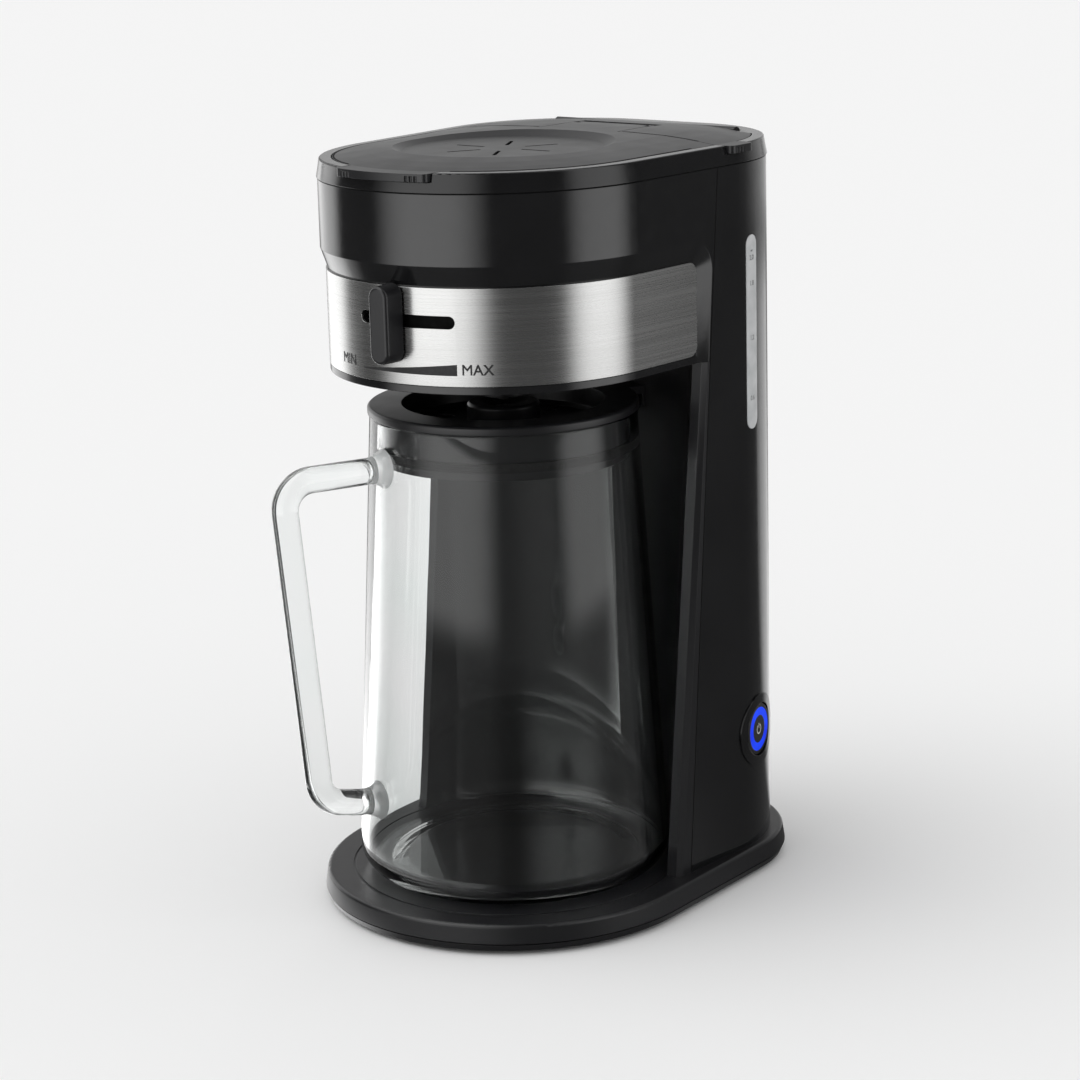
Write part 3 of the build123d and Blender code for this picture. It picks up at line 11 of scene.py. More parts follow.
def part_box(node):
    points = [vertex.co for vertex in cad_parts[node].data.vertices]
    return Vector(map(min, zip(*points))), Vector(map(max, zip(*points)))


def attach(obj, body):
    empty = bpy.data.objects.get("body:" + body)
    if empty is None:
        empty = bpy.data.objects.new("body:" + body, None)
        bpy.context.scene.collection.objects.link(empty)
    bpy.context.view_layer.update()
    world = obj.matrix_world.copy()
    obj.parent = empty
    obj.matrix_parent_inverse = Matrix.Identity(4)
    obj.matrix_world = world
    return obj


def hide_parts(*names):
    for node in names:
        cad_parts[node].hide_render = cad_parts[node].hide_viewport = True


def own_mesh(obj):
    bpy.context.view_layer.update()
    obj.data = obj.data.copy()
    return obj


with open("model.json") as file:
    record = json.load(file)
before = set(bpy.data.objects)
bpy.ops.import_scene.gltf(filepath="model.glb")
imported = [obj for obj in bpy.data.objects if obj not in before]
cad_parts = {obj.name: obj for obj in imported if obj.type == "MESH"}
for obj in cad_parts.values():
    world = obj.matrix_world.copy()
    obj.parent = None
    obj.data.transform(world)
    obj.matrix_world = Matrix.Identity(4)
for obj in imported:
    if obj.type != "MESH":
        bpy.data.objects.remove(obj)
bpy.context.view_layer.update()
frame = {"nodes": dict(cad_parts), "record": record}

# ---------------------------------------------------------------- places

MM = 0.001
UP = Vector((0, 0, 1))


def middle(node):
    """Centre of a CAD node's box."""
    low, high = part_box(node)
    return (low + high) / 2


AXIS = Vector((*middle("jug_glass").xy, 0))
JUG_LOW, JUG_HIGH = (corner.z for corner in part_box("jug_glass"))
JUG_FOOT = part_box("jug_glass")[1].x - AXIS.x
BAND_R = AXIS.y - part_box("steel_band")[0].y
BUTTON_Z = middle("power_button").z
HOUSING_LOW, HOUSING_TOP = (corner.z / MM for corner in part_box("rear_housing"))
BODIES = {node: body for body, nodes in frame["record"]["behaviour"]["bodies"].items() for node in nodes}

# The housing in plan as the solids have it, in mm from the brew axis: a round front, two leaning
# sides and two rear corners.
FRONT_R = 79.5
CORNER_X = 20.0
CORNER_Y = 72.0
CORNER_R = 62.5
LEAN = math.atan2(CORNER_Y, CORNER_X) - math.acos((FRONT_R - CORNER_R) / math.hypot(CORNER_X, CORNER_Y))
SIDE_OUT = Vector((math.cos(LEAN), math.sin(LEAN), 0))
SIDE_ALONG = Vector((-math.sin(LEAN), math.cos(LEAN), 0))

# Where the level window and the power button lie on the rear flank, in degrees behind the sideways axis.
GAUGE_ANGLE = 6.5
BUTTON_ANGLE = 11.0


def around(radius, azimuth, z):
    """Point at a radius from the brew axis; azimuth runs from the front towards +X."""
    angle = math.radians(azimuth)
    return AXIS + Vector((radius * math.sin(angle), -radius * math.cos(angle), z))


def on_flank(angle, proud_mm, z):
    """Plane on the rounded rear flank, z outwards and y up, its middle a little proud of the skin."""
    a = math.radians(angle)
    out = Vector((math.cos(a), math.sin(a), 0))
    rearwards = Vector((-math.sin(a), math.cos(a), 0))
    plane = Matrix((rearwards, UP, out)).transposed().to_4x4()
    corner = Vector((CORNER_X, CORNER_Y, 0))
    plane.translation = AXIS + (corner + out * (CORNER_R + proud_mm)) * MM + UP * z
    return plane


# ---------------------------------------------------------------- colours and nodes


def linear(code):
    """An sRGB hex colour as linear RGBA."""
    parts = [int(code[i : i + 2], 16) / 255 for i in (1, 3, 5)]
    return (*(c / 12.92 if c <= 0.04045 else ((c + 0.055) / 1.055) ** 2.4 for c in parts), 1)


def feed(tree, node, inputs):
    """Sets a node's sockets: another node's output is linked, anything else is its value."""
    for socket, value in inputs.items():
        if isinstance(value, bpy.types.NodeSocket):
            tree.links.new(value, node.inputs[socket])
        else:
            node.inputs[socket].default_value = value


def add(tree, kind, inputs=None, **settings):
    """A node with its settings and its inputs."""
    node = tree.nodes.new(kind)
    for name, value in settings.items():
        setattr(node, name, value)
    feed(tree, node, inputs or {})
    return node


def material(name):
    """A new material, its node tree, its shader and the coordinates of the object."""
    made = bpy.data.materials.new(name)
    made.use_nodes = True
    tree = made.node_tree
    shader = tree.nodes["Principled BSDF"]
    place = add(tree, "ShaderNodeTexCoord").outputs["Object"]
    return made, tree, shader, place


def limits(value, start, end, before, after):
    """What a Map Range node is given to go from one value to another between start and end."""
    return {"Value": value, "From Min": start, "From Max": end, "To Min": before, "To Max": after}


def speckle(tree, place, size_mm, low, high, stretch=(1, 1, 1), detail=2.0):
    """Noise with grains of size_mm, between two values."""
    grid = add(tree, "ShaderNodeMapping", {"Vector": place, "Scale": stretch}).outputs[0]
    grains = {"Vector": grid, "Scale": 1 / (size_mm * MM), "Detail": detail}
    noise = add(tree, "ShaderNodeTexNoise", grains).outputs["Fac"]
    return add(tree, "ShaderNodeMapRange", limits(noise, 0.3, 0.7, low, high)).outputs[0]


def clouded(tree, place, size_mm, dark, light):
    """Two close colours, hex values, that meet in soft clouds of size_mm."""
    tint = {"Factor": speckle(tree, place, size_mm, 0, 1), 6: linear(dark), 7: linear(light)}
    return add(tree, "ShaderNodeMix", tint, data_type="RGBA").outputs[2]


def relief(tree, height, depth_mm, edge_mm=0.0):
    """A bump from a height of 0 to 1 that stands depth_mm tall, over edges rounded to edge_mm."""
    bump = add(tree, "ShaderNodeBump", {"Height": height, "Distance": depth_mm * MM})
    if edge_mm:
        eased = add(tree, "ShaderNodeBevel", {"Radius": edge_mm * MM}, samples=6)
        feed(tree, bump, {"Normal": eased.outputs[0]})
    return bump.outputs[0]


# ---------------------------------------------------------------- materials


def polished_abs():
    """ABS from a polished mould: deep black, a sharp reflection with a faint orange peel."""
    made, tree, shader, place = material("polished_black_abs")
    feed(tree, shader, {
        "Base Color": clouded(tree, place, 40, "#121213", "#171718"),
        "Roughness": speckle(tree, place, 6, 0.10, 0.16),
        "IOR": 1.58,
        "Normal": relief(tree, speckle(tree, place, 5, 0, 1), 0.008, edge_mm=0.35),
    })
    return made


def satin_abs():
    """ABS from a spark-eroded mould: dark grey sheen, broken up by a fine even grain."""
    made, tree, shader, place = material("satin_black_abs")
    feed(tree, shader, {
        "Base Color": clouded(tree, place, 60, "#18181a", "#1b1b1d"),
        "Roughness": speckle(tree, place, 14, 0.31, 0.35),
        "IOR": 1.53,
        "Normal": relief(tree, speckle(tree, place, 0.7, 0, 1), 0.006, edge_mm=0.35),
    })
    return made


def brushed_stainless():
    """Stainless strip brushed along its length: fine level lines that smear the lights upwards."""
    made, tree, shader, place = material("brushed_stainless")
    # Real lines lie about 0.05 mm apart; they are drawn at 0.45 mm so that they show.
    lines = speckle(tree, place, 0.45, 0, 1, stretch=(0.004, 0.004, 1), detail=3.0)
    tint = {"Factor": lines, 6: linear("#bbbbba"), 7: linear("#cbcbca")}
    feed(tree, shader, {
        "Base Color": add(tree, "ShaderNodeMix", tint, data_type="RGBA").outputs[2],
        "Metallic": 1.0,
        "Roughness": speckle(tree, place, 0.45, 0.25, 0.29, stretch=(0.004, 0.004, 1)),
        "Anisotropic": 0.45,
        "Anisotropic Rotation": 0.25,
        "Tangent": add(tree, "ShaderNodeTangent", direction_type="RADIAL", axis="Z").outputs[0],
        "Normal": relief(tree, lines, 0.001),
    })
    return made


def plain_steel():
    """Zinc-plated steel wire and sheet: bright grey with soft clouds."""
    made, tree, shader, place = material("plated_steel")
    feed(tree, shader, {
        "Base Color": clouded(tree, place, 4, "#8d8f91", "#b4b5b6"),
        "Metallic": 1.0,
        "Roughness": speckle(tree, place, 1, 0.28, 0.42),
    })
    return made


def filter_mesh():
    """Woven stainless mesh: a grid of fine wires over gaps painted dark, as painted shade for the dim
    inside seen through them.
    """
    made, tree, shader, place = material("woven_stainless_mesh")
    # Real wires lie 0.2 mm apart; they are drawn at 0.8 mm so that they show. The node's waves lie
    # 2 pi / (20 * scale) apart.
    waves = {"Vector": place, "Scale": 2 * math.pi / (0.8 * MM) / 20}
    across = add(tree, "ShaderNodeTexWave", waves, bands_direction="X").outputs["Fac"]
    upright = add(tree, "ShaderNodeTexWave", waves, bands_direction="Z").outputs["Fac"]
    wires_and_gap_shade = add(tree, "ShaderNodeMath", {0: across, 1: upright}, operation="MAXIMUM").outputs[0]
    # The dark colour between the wires is painted shade.
    tint = {"Factor": wires_and_gap_shade, 6: linear("#1d1d1c"), 7: linear("#a3a4a5")}
    feed(tree, shader, {
        "Base Color": add(tree, "ShaderNodeMix", tint, data_type="RGBA").outputs[2],
        "Metallic": 0.9,
        "Roughness": speckle(tree, place, 1, 0.3, 0.4),
        "Normal": relief(tree, wires_and_gap_shade, 0.1),
    })
    return made


def clear_glass():
    """Borosilicate glass, blown and fire-polished: clear, with a very slow waviness."""
    made, tree, shader, place = material("borosilicate_glass")
    feed(tree, shader, {
        "Base Color": clouded(tree, place, 60, "#fafdfc", "#ffffff"),
        "Transmission Weight": 1.0,
        "Roughness": 0.0,
        "IOR": 1.47,
        "Normal": relief(tree, speckle(tree, place, 45, 0, 1), 0.02),
    })
    return made


def frosted_polycarbonate():
    """Frosted polycarbonate over the level tube: pale grey, light passes a little way in."""
    made, tree, shader, place = material("frosted_polycarbonate")
    feed(tree, shader, {
        "Base Color": clouded(tree, place, 9, "#b9bbbc", "#d0d1d2"),
        "Roughness": speckle(tree, place, 2, 0.16, 0.26),
        "Subsurface Weight": 0.2,
        "Subsurface Radius": (0.002, 0.002, 0.002),
        "IOR": 1.58,
    })
    return made


def clear_styrene():
    """Injected clear styrene, as the water tank is: a little grey and hazy."""
    made, tree, shader, place = material("clear_styrene")
    feed(tree, shader, {
        "Base Color": clouded(tree, place, 30, "#dfe3e4", "#eef1f1"),
        "Transmission Weight": 0.85,
        "Roughness": speckle(tree, place, 8, 0.10, 0.2),
        "IOR": 1.59,
    })
    return made


def painted_shade_abs():
    """Unpolished ABS as painted shade deep inside slots and gaps: a dead black that stands in for the shade
    there and swallows light.
    """
    made, tree, shader, place = material("painted_shade_black")
    feed(tree, shader, {
        "Base Color": clouded(tree, place, 8, "#040404", "#070707"),
        "Roughness": speckle(tree, place, 2, 0.7, 0.85),
        "Specular IOR Level": 0.2,
    })
    return made


def fused_glass():
    """Glass welded on to glass: milky where the flame has closed the joint."""
    made, tree, shader, place = material("fused_glass_joint")
    feed(tree, shader, {
        "Base Color": clouded(tree, place, 3, "#f4f7f7", "#ffffff"),
        "Roughness": speckle(tree, place, 2, 0.3, 0.5),
        "Transmission Weight": 0.2,
    })
    return made


def dark_rubber():
    """Moulded EPDM: matt, near black, with a dusty grain."""
    made, tree, shader, place = material("black_epdm")
    feed(tree, shader, {
        "Base Color": clouded(tree, place, 2, "#161616", "#232323"),
        "Roughness": speckle(tree, place, 1, 0.62, 0.78),
        "Normal": relief(tree, speckle(tree, place, 0.6, 0, 1), 0.02),
    })
    return made


def white_silicone():
    """Extruded silicone hose: milky, soft sheen, light passes a little way in."""
    made, tree, shader, place = material("milky_silicone")
    feed(tree, shader, {
        "Base Color": clouded(tree, place, 6, "#d3d3cd", "#e2e2dc"),
        "Roughness": speckle(tree, place, 3, 0.4, 0.5),
        "Subsurface Weight": 0.3,
        "Subsurface Radius": (0.002, 0.002, 0.002),
    })
    return made


def natural_nylon():
    """Natural nylon: off-white with a dull gloss."""
    made, tree, shader, place = material("natural_nylon")
    feed(tree, shader, {
        "Base Color": clouded(tree, place, 3, "#cdccc4", "#dcdbd3"),
        "Roughness": speckle(tree, place, 2, 0.35, 0.5),
    })
    return made


def cast_aluminium():
    """Die-cast aluminium: pale grey with a coarse skin."""
    made, tree, shader, place = material("die_cast_aluminium")
    feed(tree, shader, {
        "Base Color": clouded(tree, place, 1.2, "#9a9b9c", "#b9babb"),
        "Metallic": 1.0,
        "Roughness": speckle(tree, place, 2, 0.45, 0.6),
        "Normal": relief(tree, speckle(tree, place, 1.2, 0, 1), 0.06),
    })
    return made


def blue_light():
    """Milky acrylic ring with a blue lamp behind it: an even glow with faint clouds."""
    made, tree, shader, place = material("lit_acrylic")
    feed(tree, shader, {
        "Base Color": linear("#061552"),
        "Roughness": 0.4,
        "Specular IOR Level": 0.15,
        "Emission Color": clouded(tree, place, 9, "#0b2fe6", "#1747ff"),
        "Emission Strength": 0.9,
    })
    return made


def printed_ink(name, dark, light):
    """Screen-printed ink: a thin matt film, slightly uneven."""
    made, tree, shader, place = material(name)
    feed(tree, shader, {
        "Base Color": clouded(tree, place, 1.5, dark, light),
        "Roughness": speckle(tree, place, 0.8, 0.45, 0.6),
    })
    return made


POLISHED = polished_abs()
SATIN = satin_abs()
STAINLESS = brushed_stainless()
STEEL = plain_steel()
MESH = filter_mesh()
GLASS = clear_glass()
FROSTED = frosted_polycarbonate()
STYRENE = clear_styrene()
SHADE_BLACK = painted_shade_abs()
FUSED = fused_glass()
RUBBER = dark_rubber()
SILICONE = white_silicone()
NYLON = natural_nylon()
ALUMINIUM = cast_aluminium()
BLUE = blue_light()
DARK_INK = printed_ink("dark_grey_ink", "#1d1d1e", "#2a2a2b")
GREY_INK = printed_ink("mid_grey_ink", "#6a6b6c", "#7c7d7e")
PALE_INK = printed_ink("pale_grey_ink", "#b4b4b6", "#cfcfd1")

# ---------------------------------------------------------------- making pieces


def finished(name, shape, finish, body):
    """A bmesh turned into a named piece that rides on a body."""
    mesh = bpy.data.meshes.new(name)
    shape.to_mesh(mesh)
    shape.free()
    mesh.materials.append(finish)
    piece = bpy.data.objects.new(name, mesh)
    bpy.context.scene.collection.objects.link(piece)
    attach(piece, body)
    return piece


def smooth(shape):
    """Smooth shading on every face."""
    for face in shape.faces:
        face.smooth = True


def rounded(points, radii, steps=8):
    """The outline through the points, with a round stretch at each point that has a radius."""
    line = []
    for i, (point, radius) in enumerate(zip(points, radii)):
        here = Vector(point)
        if not radius:
            line.append(here)
            continue
        back = (Vector(points[i - 1]) - here).normalized()
        ahead = (Vector(points[(i + 1) % len(points)]) - here).normalized()
        half = back.angle(ahead) / 2
        centre = here + (back + ahead).normalized() * radius / math.sin(half)
        start = here + back * radius / math.tan(half) - centre
        end = here + ahead * radius / math.tan(half) - centre
        turn = start.angle_signed(end)
        for step in range(steps + 1):
            line.append(centre + Matrix.Rotation(-turn * step / steps, 2) @ start)
    return line


def turned(outline, steps):
    """A closed body turned about the brew axis from an outline of (radius, height) in mm."""
    shape = bmesh.new()
    corners = [shape.verts.new(AXIS + Vector((r * MM, 0, z * MM))) for r, z in outline]
    edges = [shape.edges.new(pair) for pair in zip(corners, corners[1:] + corners[:1])]
    bmesh.ops.spin(
        shape, geom=corners + edges, cent=AXIS, axis=UP, angle=2 * math.pi, steps=steps, use_merge=True
    )
    bmesh.ops.remove_doubles(shape, verts=shape.verts, dist=0.01 * MM)
    bmesh.ops.recalc_face_normals(shape, faces=shape.faces)
    smooth(shape)
    return shape


def softened(node, edge_mm, finish):
    """A rigid CAD node with its hard edges rounded off, standing in for it."""
    shape = bmesh.new()
    shape.from_mesh(frame["nodes"][node].data)
    bmesh.ops.remove_doubles(shape, verts=shape.verts, dist=0.005 * MM)
    bmesh.ops.dissolve_limit(shape, angle_limit=math.radians(0.5), verts=shape.verts, edges=shape.edges)
    hard = [e for e in shape.edges if e.is_manifold and e.calc_face_angle() > math.radians(30)]
    bmesh.ops.bevel(
        shape, geom=hard, offset=edge_mm * MM, segments=2, profile=0.5, affect="EDGES", material=-1
    )
    smooth(shape)
    piece = finished(f"{node}_soft", shape, finish, BODIES[node])
    piece.data.set_sharp_from_angle(angle=math.radians(40))
    piece.modifiers.new("flat_faces", "WEIGHTED_NORMAL").keep_sharp = True
    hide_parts(node)


# ---------------------------------------------------------------- jug

# The jug and its handle, in mm and degrees.
GLASS_WALL = 2.8
GLASS_FLOOR = 4.5
FOOT_ROUND = 11.0
FOOT_RING = 14.0
PUSH_UP_EDGE = 22.0
PUSH_UP = 1.2
PUSH_UP_MIDDLE = 1.6
JUG_SIDES = 160
RIM_R = 60.6
RIM_ROUND = 1.3
HANDLE_AZ = -22.0
HANDLE_SIDES = 40
GRIP_R = 6.0
GRIP_OUT = 110.5
GRIP_LEAN = 4.7
GRIP_BEND = 13.0
TRUMPET_R = 9.0
TRUMPET_L = 9.0
TRUMPET_LIFT = 0.06
CAP_RADII = [0.1, 2.5, 5.0, 7.5]
SIDEWAYS = Vector((math.cos(math.radians(HANDLE_AZ)), math.sin(math.radians(HANDLE_AZ)), 0))


def jug_glass():
    """Tapered jug with a round foot, a thick floor pushed up in the middle and a rolled rim."""
    low, high = JUG_LOW / MM, JUG_HIGH / MM
    foot = JUG_FOOT / MM
    lean = (foot - RIM_R) / (high - low)
    floor = low + GLASS_FLOOR
    points = [
        (0, low + PUSH_UP_MIDDLE), (foot - PUSH_UP_EDGE, low + PUSH_UP), (foot - FOOT_RING, low),
        (foot + 0.2, low), (RIM_R, high), (RIM_R - GLASS_WALL, high),
        (foot - GLASS_WALL - lean * GLASS_FLOOR, floor), (0, floor),
    ]
    radii = [0, 3, 3, FOOT_ROUND, RIM_ROUND, RIM_ROUND, FOOT_ROUND - GLASS_WALL, 0]
    shape = turned(rounded(points, radii), JUG_SIDES)
    piece = finished("jug_glass_blown", shape, GLASS, "jug")
    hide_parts("jug_glass")


def jug_wall(height_mm):
    """Outer radius of the glass at a height, in mm."""
    low, high = JUG_LOW / MM, JUG_HIGH / MM
    return JUG_FOOT / MM + (RIM_R - JUG_FOOT / MM) * (height_mm - low) / (high - low)


def handle_line():
    """The handle's middle line as (distance from the axis, height), with its radii, all in mm."""
    top, low, end, end_rise = 209.0, 60.0, 55.5, 0.8
    lean = math.radians(GRIP_LEAN)
    corner = GRIP_OUT + GRIP_BEND * ((1 + math.sin(lean)) / math.cos(lean) - 1)
    points = [
        (jug_wall(top), top), (jug_wall(top) + TRUMPET_L, top),
        (corner, top), (corner - (top - low) * math.tan(lean), low),
        (jug_wall(end) + TRUMPET_L, end + end_rise), (jug_wall(end), end),
    ]
    line = rounded(points, [0, 0, GRIP_BEND, GRIP_BEND, 0, 0], steps=16)
    first = [line[1].lerp(line[0], share / 10) for share in range(1, 11)]
    final = [line[-2].lerp(line[-1], share / 10) for share in range(1, 11)]
    line = first[::-1] + line[1:-1] + final
    radii = []
    for point in line:
        closeness = 1 - min((point - line[0]).length, (point - line[-1]).length, TRUMPET_L) / TRUMPET_L
        radii.append(GRIP_R + (TRUMPET_R - GRIP_R) * closeness ** 2.4)
    caps = len(CAP_RADII)
    return [line[0]] * caps + line + [line[-1]] * caps, CAP_RADII + radii + CAP_RADII[::-1]


def glass_handle():
    """Round glass bar bent to a grip, its ends drawn out to trumpets with milky caps on the jug."""
    line, radii = handle_line()
    first, last = len(CAP_RADII), len(line) - 1 - len(CAP_RADII)
    shape = bmesh.new()
    rings = []
    for i, (point, radius) in enumerate(zip(line, radii)):
        here = min(max(i, first), last)
        along = (line[min(here + 1, last)] - line[max(here - 1, first)]).normalized()
        ring = []
        for step in range(HANDLE_SIDES):
            turn = 2 * math.pi * step / HANDLE_SIDES
            out = point + Vector((-along.y, along.x)) * radius * math.cos(turn)
            place = around(out.x * MM, HANDLE_AZ, out.y * MM) + SIDEWAYS * radius * math.sin(turn) * MM
            if i <= first or i >= last:
                flat = Vector(((place - AXIS).x, (place - AXIS).y, 0))
                place += flat.normalized() * ((jug_wall(out.y) + TRUMPET_LIFT) * MM - flat.length)
            ring.append(shape.verts.new(place))
        rings.append(ring)
    for i, (ring, following) in enumerate(zip(rings, rings[1:])):
        for step in range(HANDLE_SIDES):
            after = (step + 1) % HANDLE_SIDES
            face = shape.faces.new((ring[step], ring[after], following[after], following[step]))
            face.material_index = int(i < first or i >= last)
    for ring in (rings[0], rings[-1]):
        shape.faces.new(ring).material_index = 1
    bmesh.ops.recalc_face_normals(shape, faces=shape.faces)
    smooth(shape)
    piece = finished("jug_handle_drawn", shape, GLASS, "jug")
    piece.data.materials.append(FUSED)
    piece.data.set_sharp_from_angle(angle=math.radians(50))
    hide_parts("jug_handle")


jug_glass()
glass_handle()

# ---------------------------------------------------------------- printed marks

# Height of the font's capitals as a share of its size; thickness of a print, in mm.
CAPITALS = 0.69
FILM = 0.04


def lettering(text, height_mm):
    """A word as a flat bmesh, centred, its strokes made heavier by four shifted layers."""
    curve = bpy.data.curves.new(text, "FONT")
    curve.body = text
    curve.align_x = "CENTER"
    curve.align_y = "CENTER"
    curve.size = height_mm * MM / CAPITALS
    curve.resolution_u = 3
    holder = bpy.data.objects.new(text, curve)
    bpy.context.scene.collection.objects.link(holder)
    bpy.context.view_layer.update()
    mesh = bpy.data.meshes.new_from_object(holder)
    bpy.data.objects.remove(holder)
    shape = bmesh.new()
    shift = 0.036 * height_mm
    layer = 0.002
    for move in ((-shift / 2, -shift / 2, 0), (shift, 0, layer), (0, shift, layer), (-shift, 0, layer)):
        mesh.transform(Matrix.Translation(Vector(move) * MM))
        shape.from_mesh(mesh)
    bmesh.ops.remove_doubles(shape, verts=shape.verts, dist=0.0015 * MM)
    bmesh.ops.triangulate(shape, faces=shape.faces)
    return shape


def film(shape):
    """Thickens a flat print to a film that stands on +Z."""
    made = bmesh.ops.extrude_face_region(shape, geom=shape.faces[:])
    raised = [v for v in made["geom"] if isinstance(v, bmesh.types.BMVert)]
    bmesh.ops.translate(shape, verts=raised, vec=UP * FILM * MM)
    bmesh.ops.recalc_face_normals(shape, faces=shape.faces)


def printed_on_band(name, shape, azimuth, z):
    """A flat print laid on the band as a named piece: its x runs round the band, its y is height."""
    film(shape)
    for corner in shape.verts:
        across, height, thick = corner.co
        turn = azimuth + math.degrees(across / BAND_R)
        corner.co = around(BAND_R + thick, turn, z * MM + height)
    finished(name, shape, DARK_INK, "machine")


def printed_on_flank(name, shape, plane, ink, body):
    """A flat print laid on a plane of the flank as a named piece."""
    film(shape)
    bmesh.ops.transform(shape, matrix=plane, verts=shape.verts)
    finished(name, shape, ink, body)


def strength_marks():
    """The words at both ends of the strength range, and the wedge that grows between them."""
    height = 4.5
    for name, word, azimuth, z in (("min_mark", "MIN", -20.0, 261.0), ("max_mark", "MAX", 31.4, 261.1)):
        printed_on_band(name, lettering(word, height), azimuth, z)
    shape = bmesh.new()
    start, end, low, tip, growth = -11.6, 24.8, 258.7, 0.4, 4.5
    span = math.radians(end - start) * BAND_R
    bmesh.ops.create_grid(shape, x_segments=24, y_segments=1, size=0.5)
    for corner in shape.verts:
        along = corner.co.x + 0.5
        rise = tip + growth * along
        corner.co = Vector(((along - 0.5) * span, (corner.co.y + 0.5) * rise * MM, 0))
    printed_on_band("strength_wedge", shape, (start + end) / 2, low)


def level_scale():
    """Plain numbers of litres down the level window, under one dash for the highest level."""
    skin = 0.2
    for name, word, height, z in (
        ("scale_top", "-", 4.5, 296.5), ("scale_a", "2.0", 2.2, 292.8), ("scale_b", "1.8", 2.2, 281.2),
        ("scale_c", "1.2", 2.2, 256.2), ("scale_d", "0.6", 2.2, 228.4),
    ):
        plane = on_flank(GAUGE_ANGLE, skin, z * MM)
        printed_on_flank(name, lettering(word, height), plane, GREY_INK, "machine")


def power_sign():
    """The usual sign for power on the button's face: an open ring with a bar in its gap."""
    shape = bmesh.new()
    inner, outer, gap, steps = 1.9, 2.5, 32.0, 28
    rows = []
    for step in range(steps + 1):
        a = math.radians(90 + gap + (360 - 2 * gap) * step / steps)
        way = Vector((math.cos(a), math.sin(a), 0))
        rows.append([shape.verts.new(way * r * MM) for r in (inner, outer)])
    for (a, b), (c, d) in zip(rows, rows[1:]):
        shape.faces.new((a, b, d, c))
    bar = ((-0.3, 0.4), (0.3, 0.4), (0.3, 2.9), (-0.3, 2.9))
    shape.faces.new([shape.verts.new(Vector((x, y, 0)) * MM) for x, y in bar])
    bmesh.ops.recalc_face_normals(shape, faces=shape.faces)
    face_depth = 0.15
    plane = on_flank(BUTTON_ANGLE, -face_depth, BUTTON_Z)
    printed_on_flank("power_sign", shape, plane, PALE_INK, "power_button_body")


strength_marks()
level_scale()
power_sign()

# ---------------------------------------------------------------- painted shade: dark lines in the gaps between mouldings

# In mm: where the front lid ends behind the brew axis, where the housings meet at their foot and at
# their top, the rim beside the lid with its gap, how far the lines stay off the lid's tab and tongue,
# and the length of the joint beside the tongue.
SEAM_BACK = 61.0
SEAM_LOW = 28.0
SEAM_TOP = 53.8
RIM_W = 6.4
RIM_GAP = 0.6
TAB_HALF = 27.0
TONGUE_HALF = 24.0
JOINT_L = 42.0


def side_point(inset, y):
    """Point and outward direction on the body's right side, y behind the brew axis, in mm."""
    along = (y - SIDE_OUT.y * (FRONT_R - inset)) / SIDE_ALONG.y
    return SIDE_OUT * (FRONT_R - inset) + SIDE_ALONG * along, SIDE_OUT


def front_half(inset):
    """Points and outward directions from the right side round the front to the left side, in mm."""
    right = [side_point(inset, y) for y in (SEAM_BACK, 45.0, 30.0, 15.0)]
    left = [(Vector((-p.x, p.y, 0)), Vector((-n.x, n.y, 0))) for p, n in reversed(right)]
    turns = [LEAN - (math.pi + 2 * LEAN) * step / 60 for step in range(61)]
    ways = [Vector((math.cos(t), math.sin(t), 0)) for t in turns]
    return right + [(way * (FRONT_R - inset), way) for way in ways] + left


def rear_half(inset):
    """Points and outward directions from the left side round the rear to the right side, in mm."""
    turns = [LEAN + (math.pi / 2 - LEAN) * step / 24 for step in range(25)]
    ways = [Vector((math.cos(t), math.sin(t), 0)) for t in turns]
    right = [(Vector((CORNER_X, CORNER_Y, 0)) + way * (CORNER_R - inset), way) for way in ways]
    left = [(Vector((-p.x, p.y, 0)), Vector((-n.x, n.y, 0))) for p, n in right]
    return left + right[::-1]


def swept(rows, closed=False):
    """A solid line through small four-cornered sections, given in metres."""
    shape = bmesh.new()
    sections = [[shape.verts.new(corner) for corner in row] for row in rows]
    following = sections[1:] + sections[:1] if closed else sections[1:]
    for section, after in zip(sections, following):
        for i in range(4):
            j = (i + 1) % 4
            shape.faces.new((section[i], section[j], after[j], after[i]))
    if not closed:
        shape.faces.new(sections[0])
        shape.faces.new(sections[-1])
    bmesh.ops.recalc_face_normals(shape, faces=shape.faces)
    return shape


def bezel_gap_shade():
    """A ring of painted shade in the step under the bezel, which is in shadow all round."""
    corners = ((-0.5, -0.55), (-0.5, 0), (-0.08, 0), (-0.08, -0.55))
    rows = []
    for point, out in front_half(0) + rear_half(0):
        rows.append([AXIS + (point + out * r + UP * (HOUSING_TOP + z)) * MM for r, z in corners])
    finished("bezel_gap_shade", swept(rows, closed=True), SHADE_BLACK, "machine")


def housing_seam_shade():
    """Painted shade: a dark strip along the leaning joint between the front and the rear housing, on both
    sides.
    """
    corners = ((-0.28, -0.1), (0.28, -0.1), (0.28, 0.03), (-0.28, 0.03))
    slope = (SEAM_TOP - SEAM_LOW) / (HOUSING_TOP - HOUSING_LOW)
    for name, side in (("seam_shade_right", 1), ("seam_shade_left", -1)):
        rows = []
        for share in (0, 0.25, 0.5, 0.75, 1):
            z = HOUSING_LOW + 0.2 + (HOUSING_TOP - 0.9 - HOUSING_LOW) * share
            point, out = side_point(0, SEAM_LOW + slope * (z - HOUSING_LOW))
            places = [point + SIDE_ALONG * t + out * r + UP * z for t, r in corners]
            rows.append([AXIS + Vector((p.x * side, p.y, p.z)) * MM for p in places])
        finished(name, swept(rows), SHADE_BLACK, "machine")


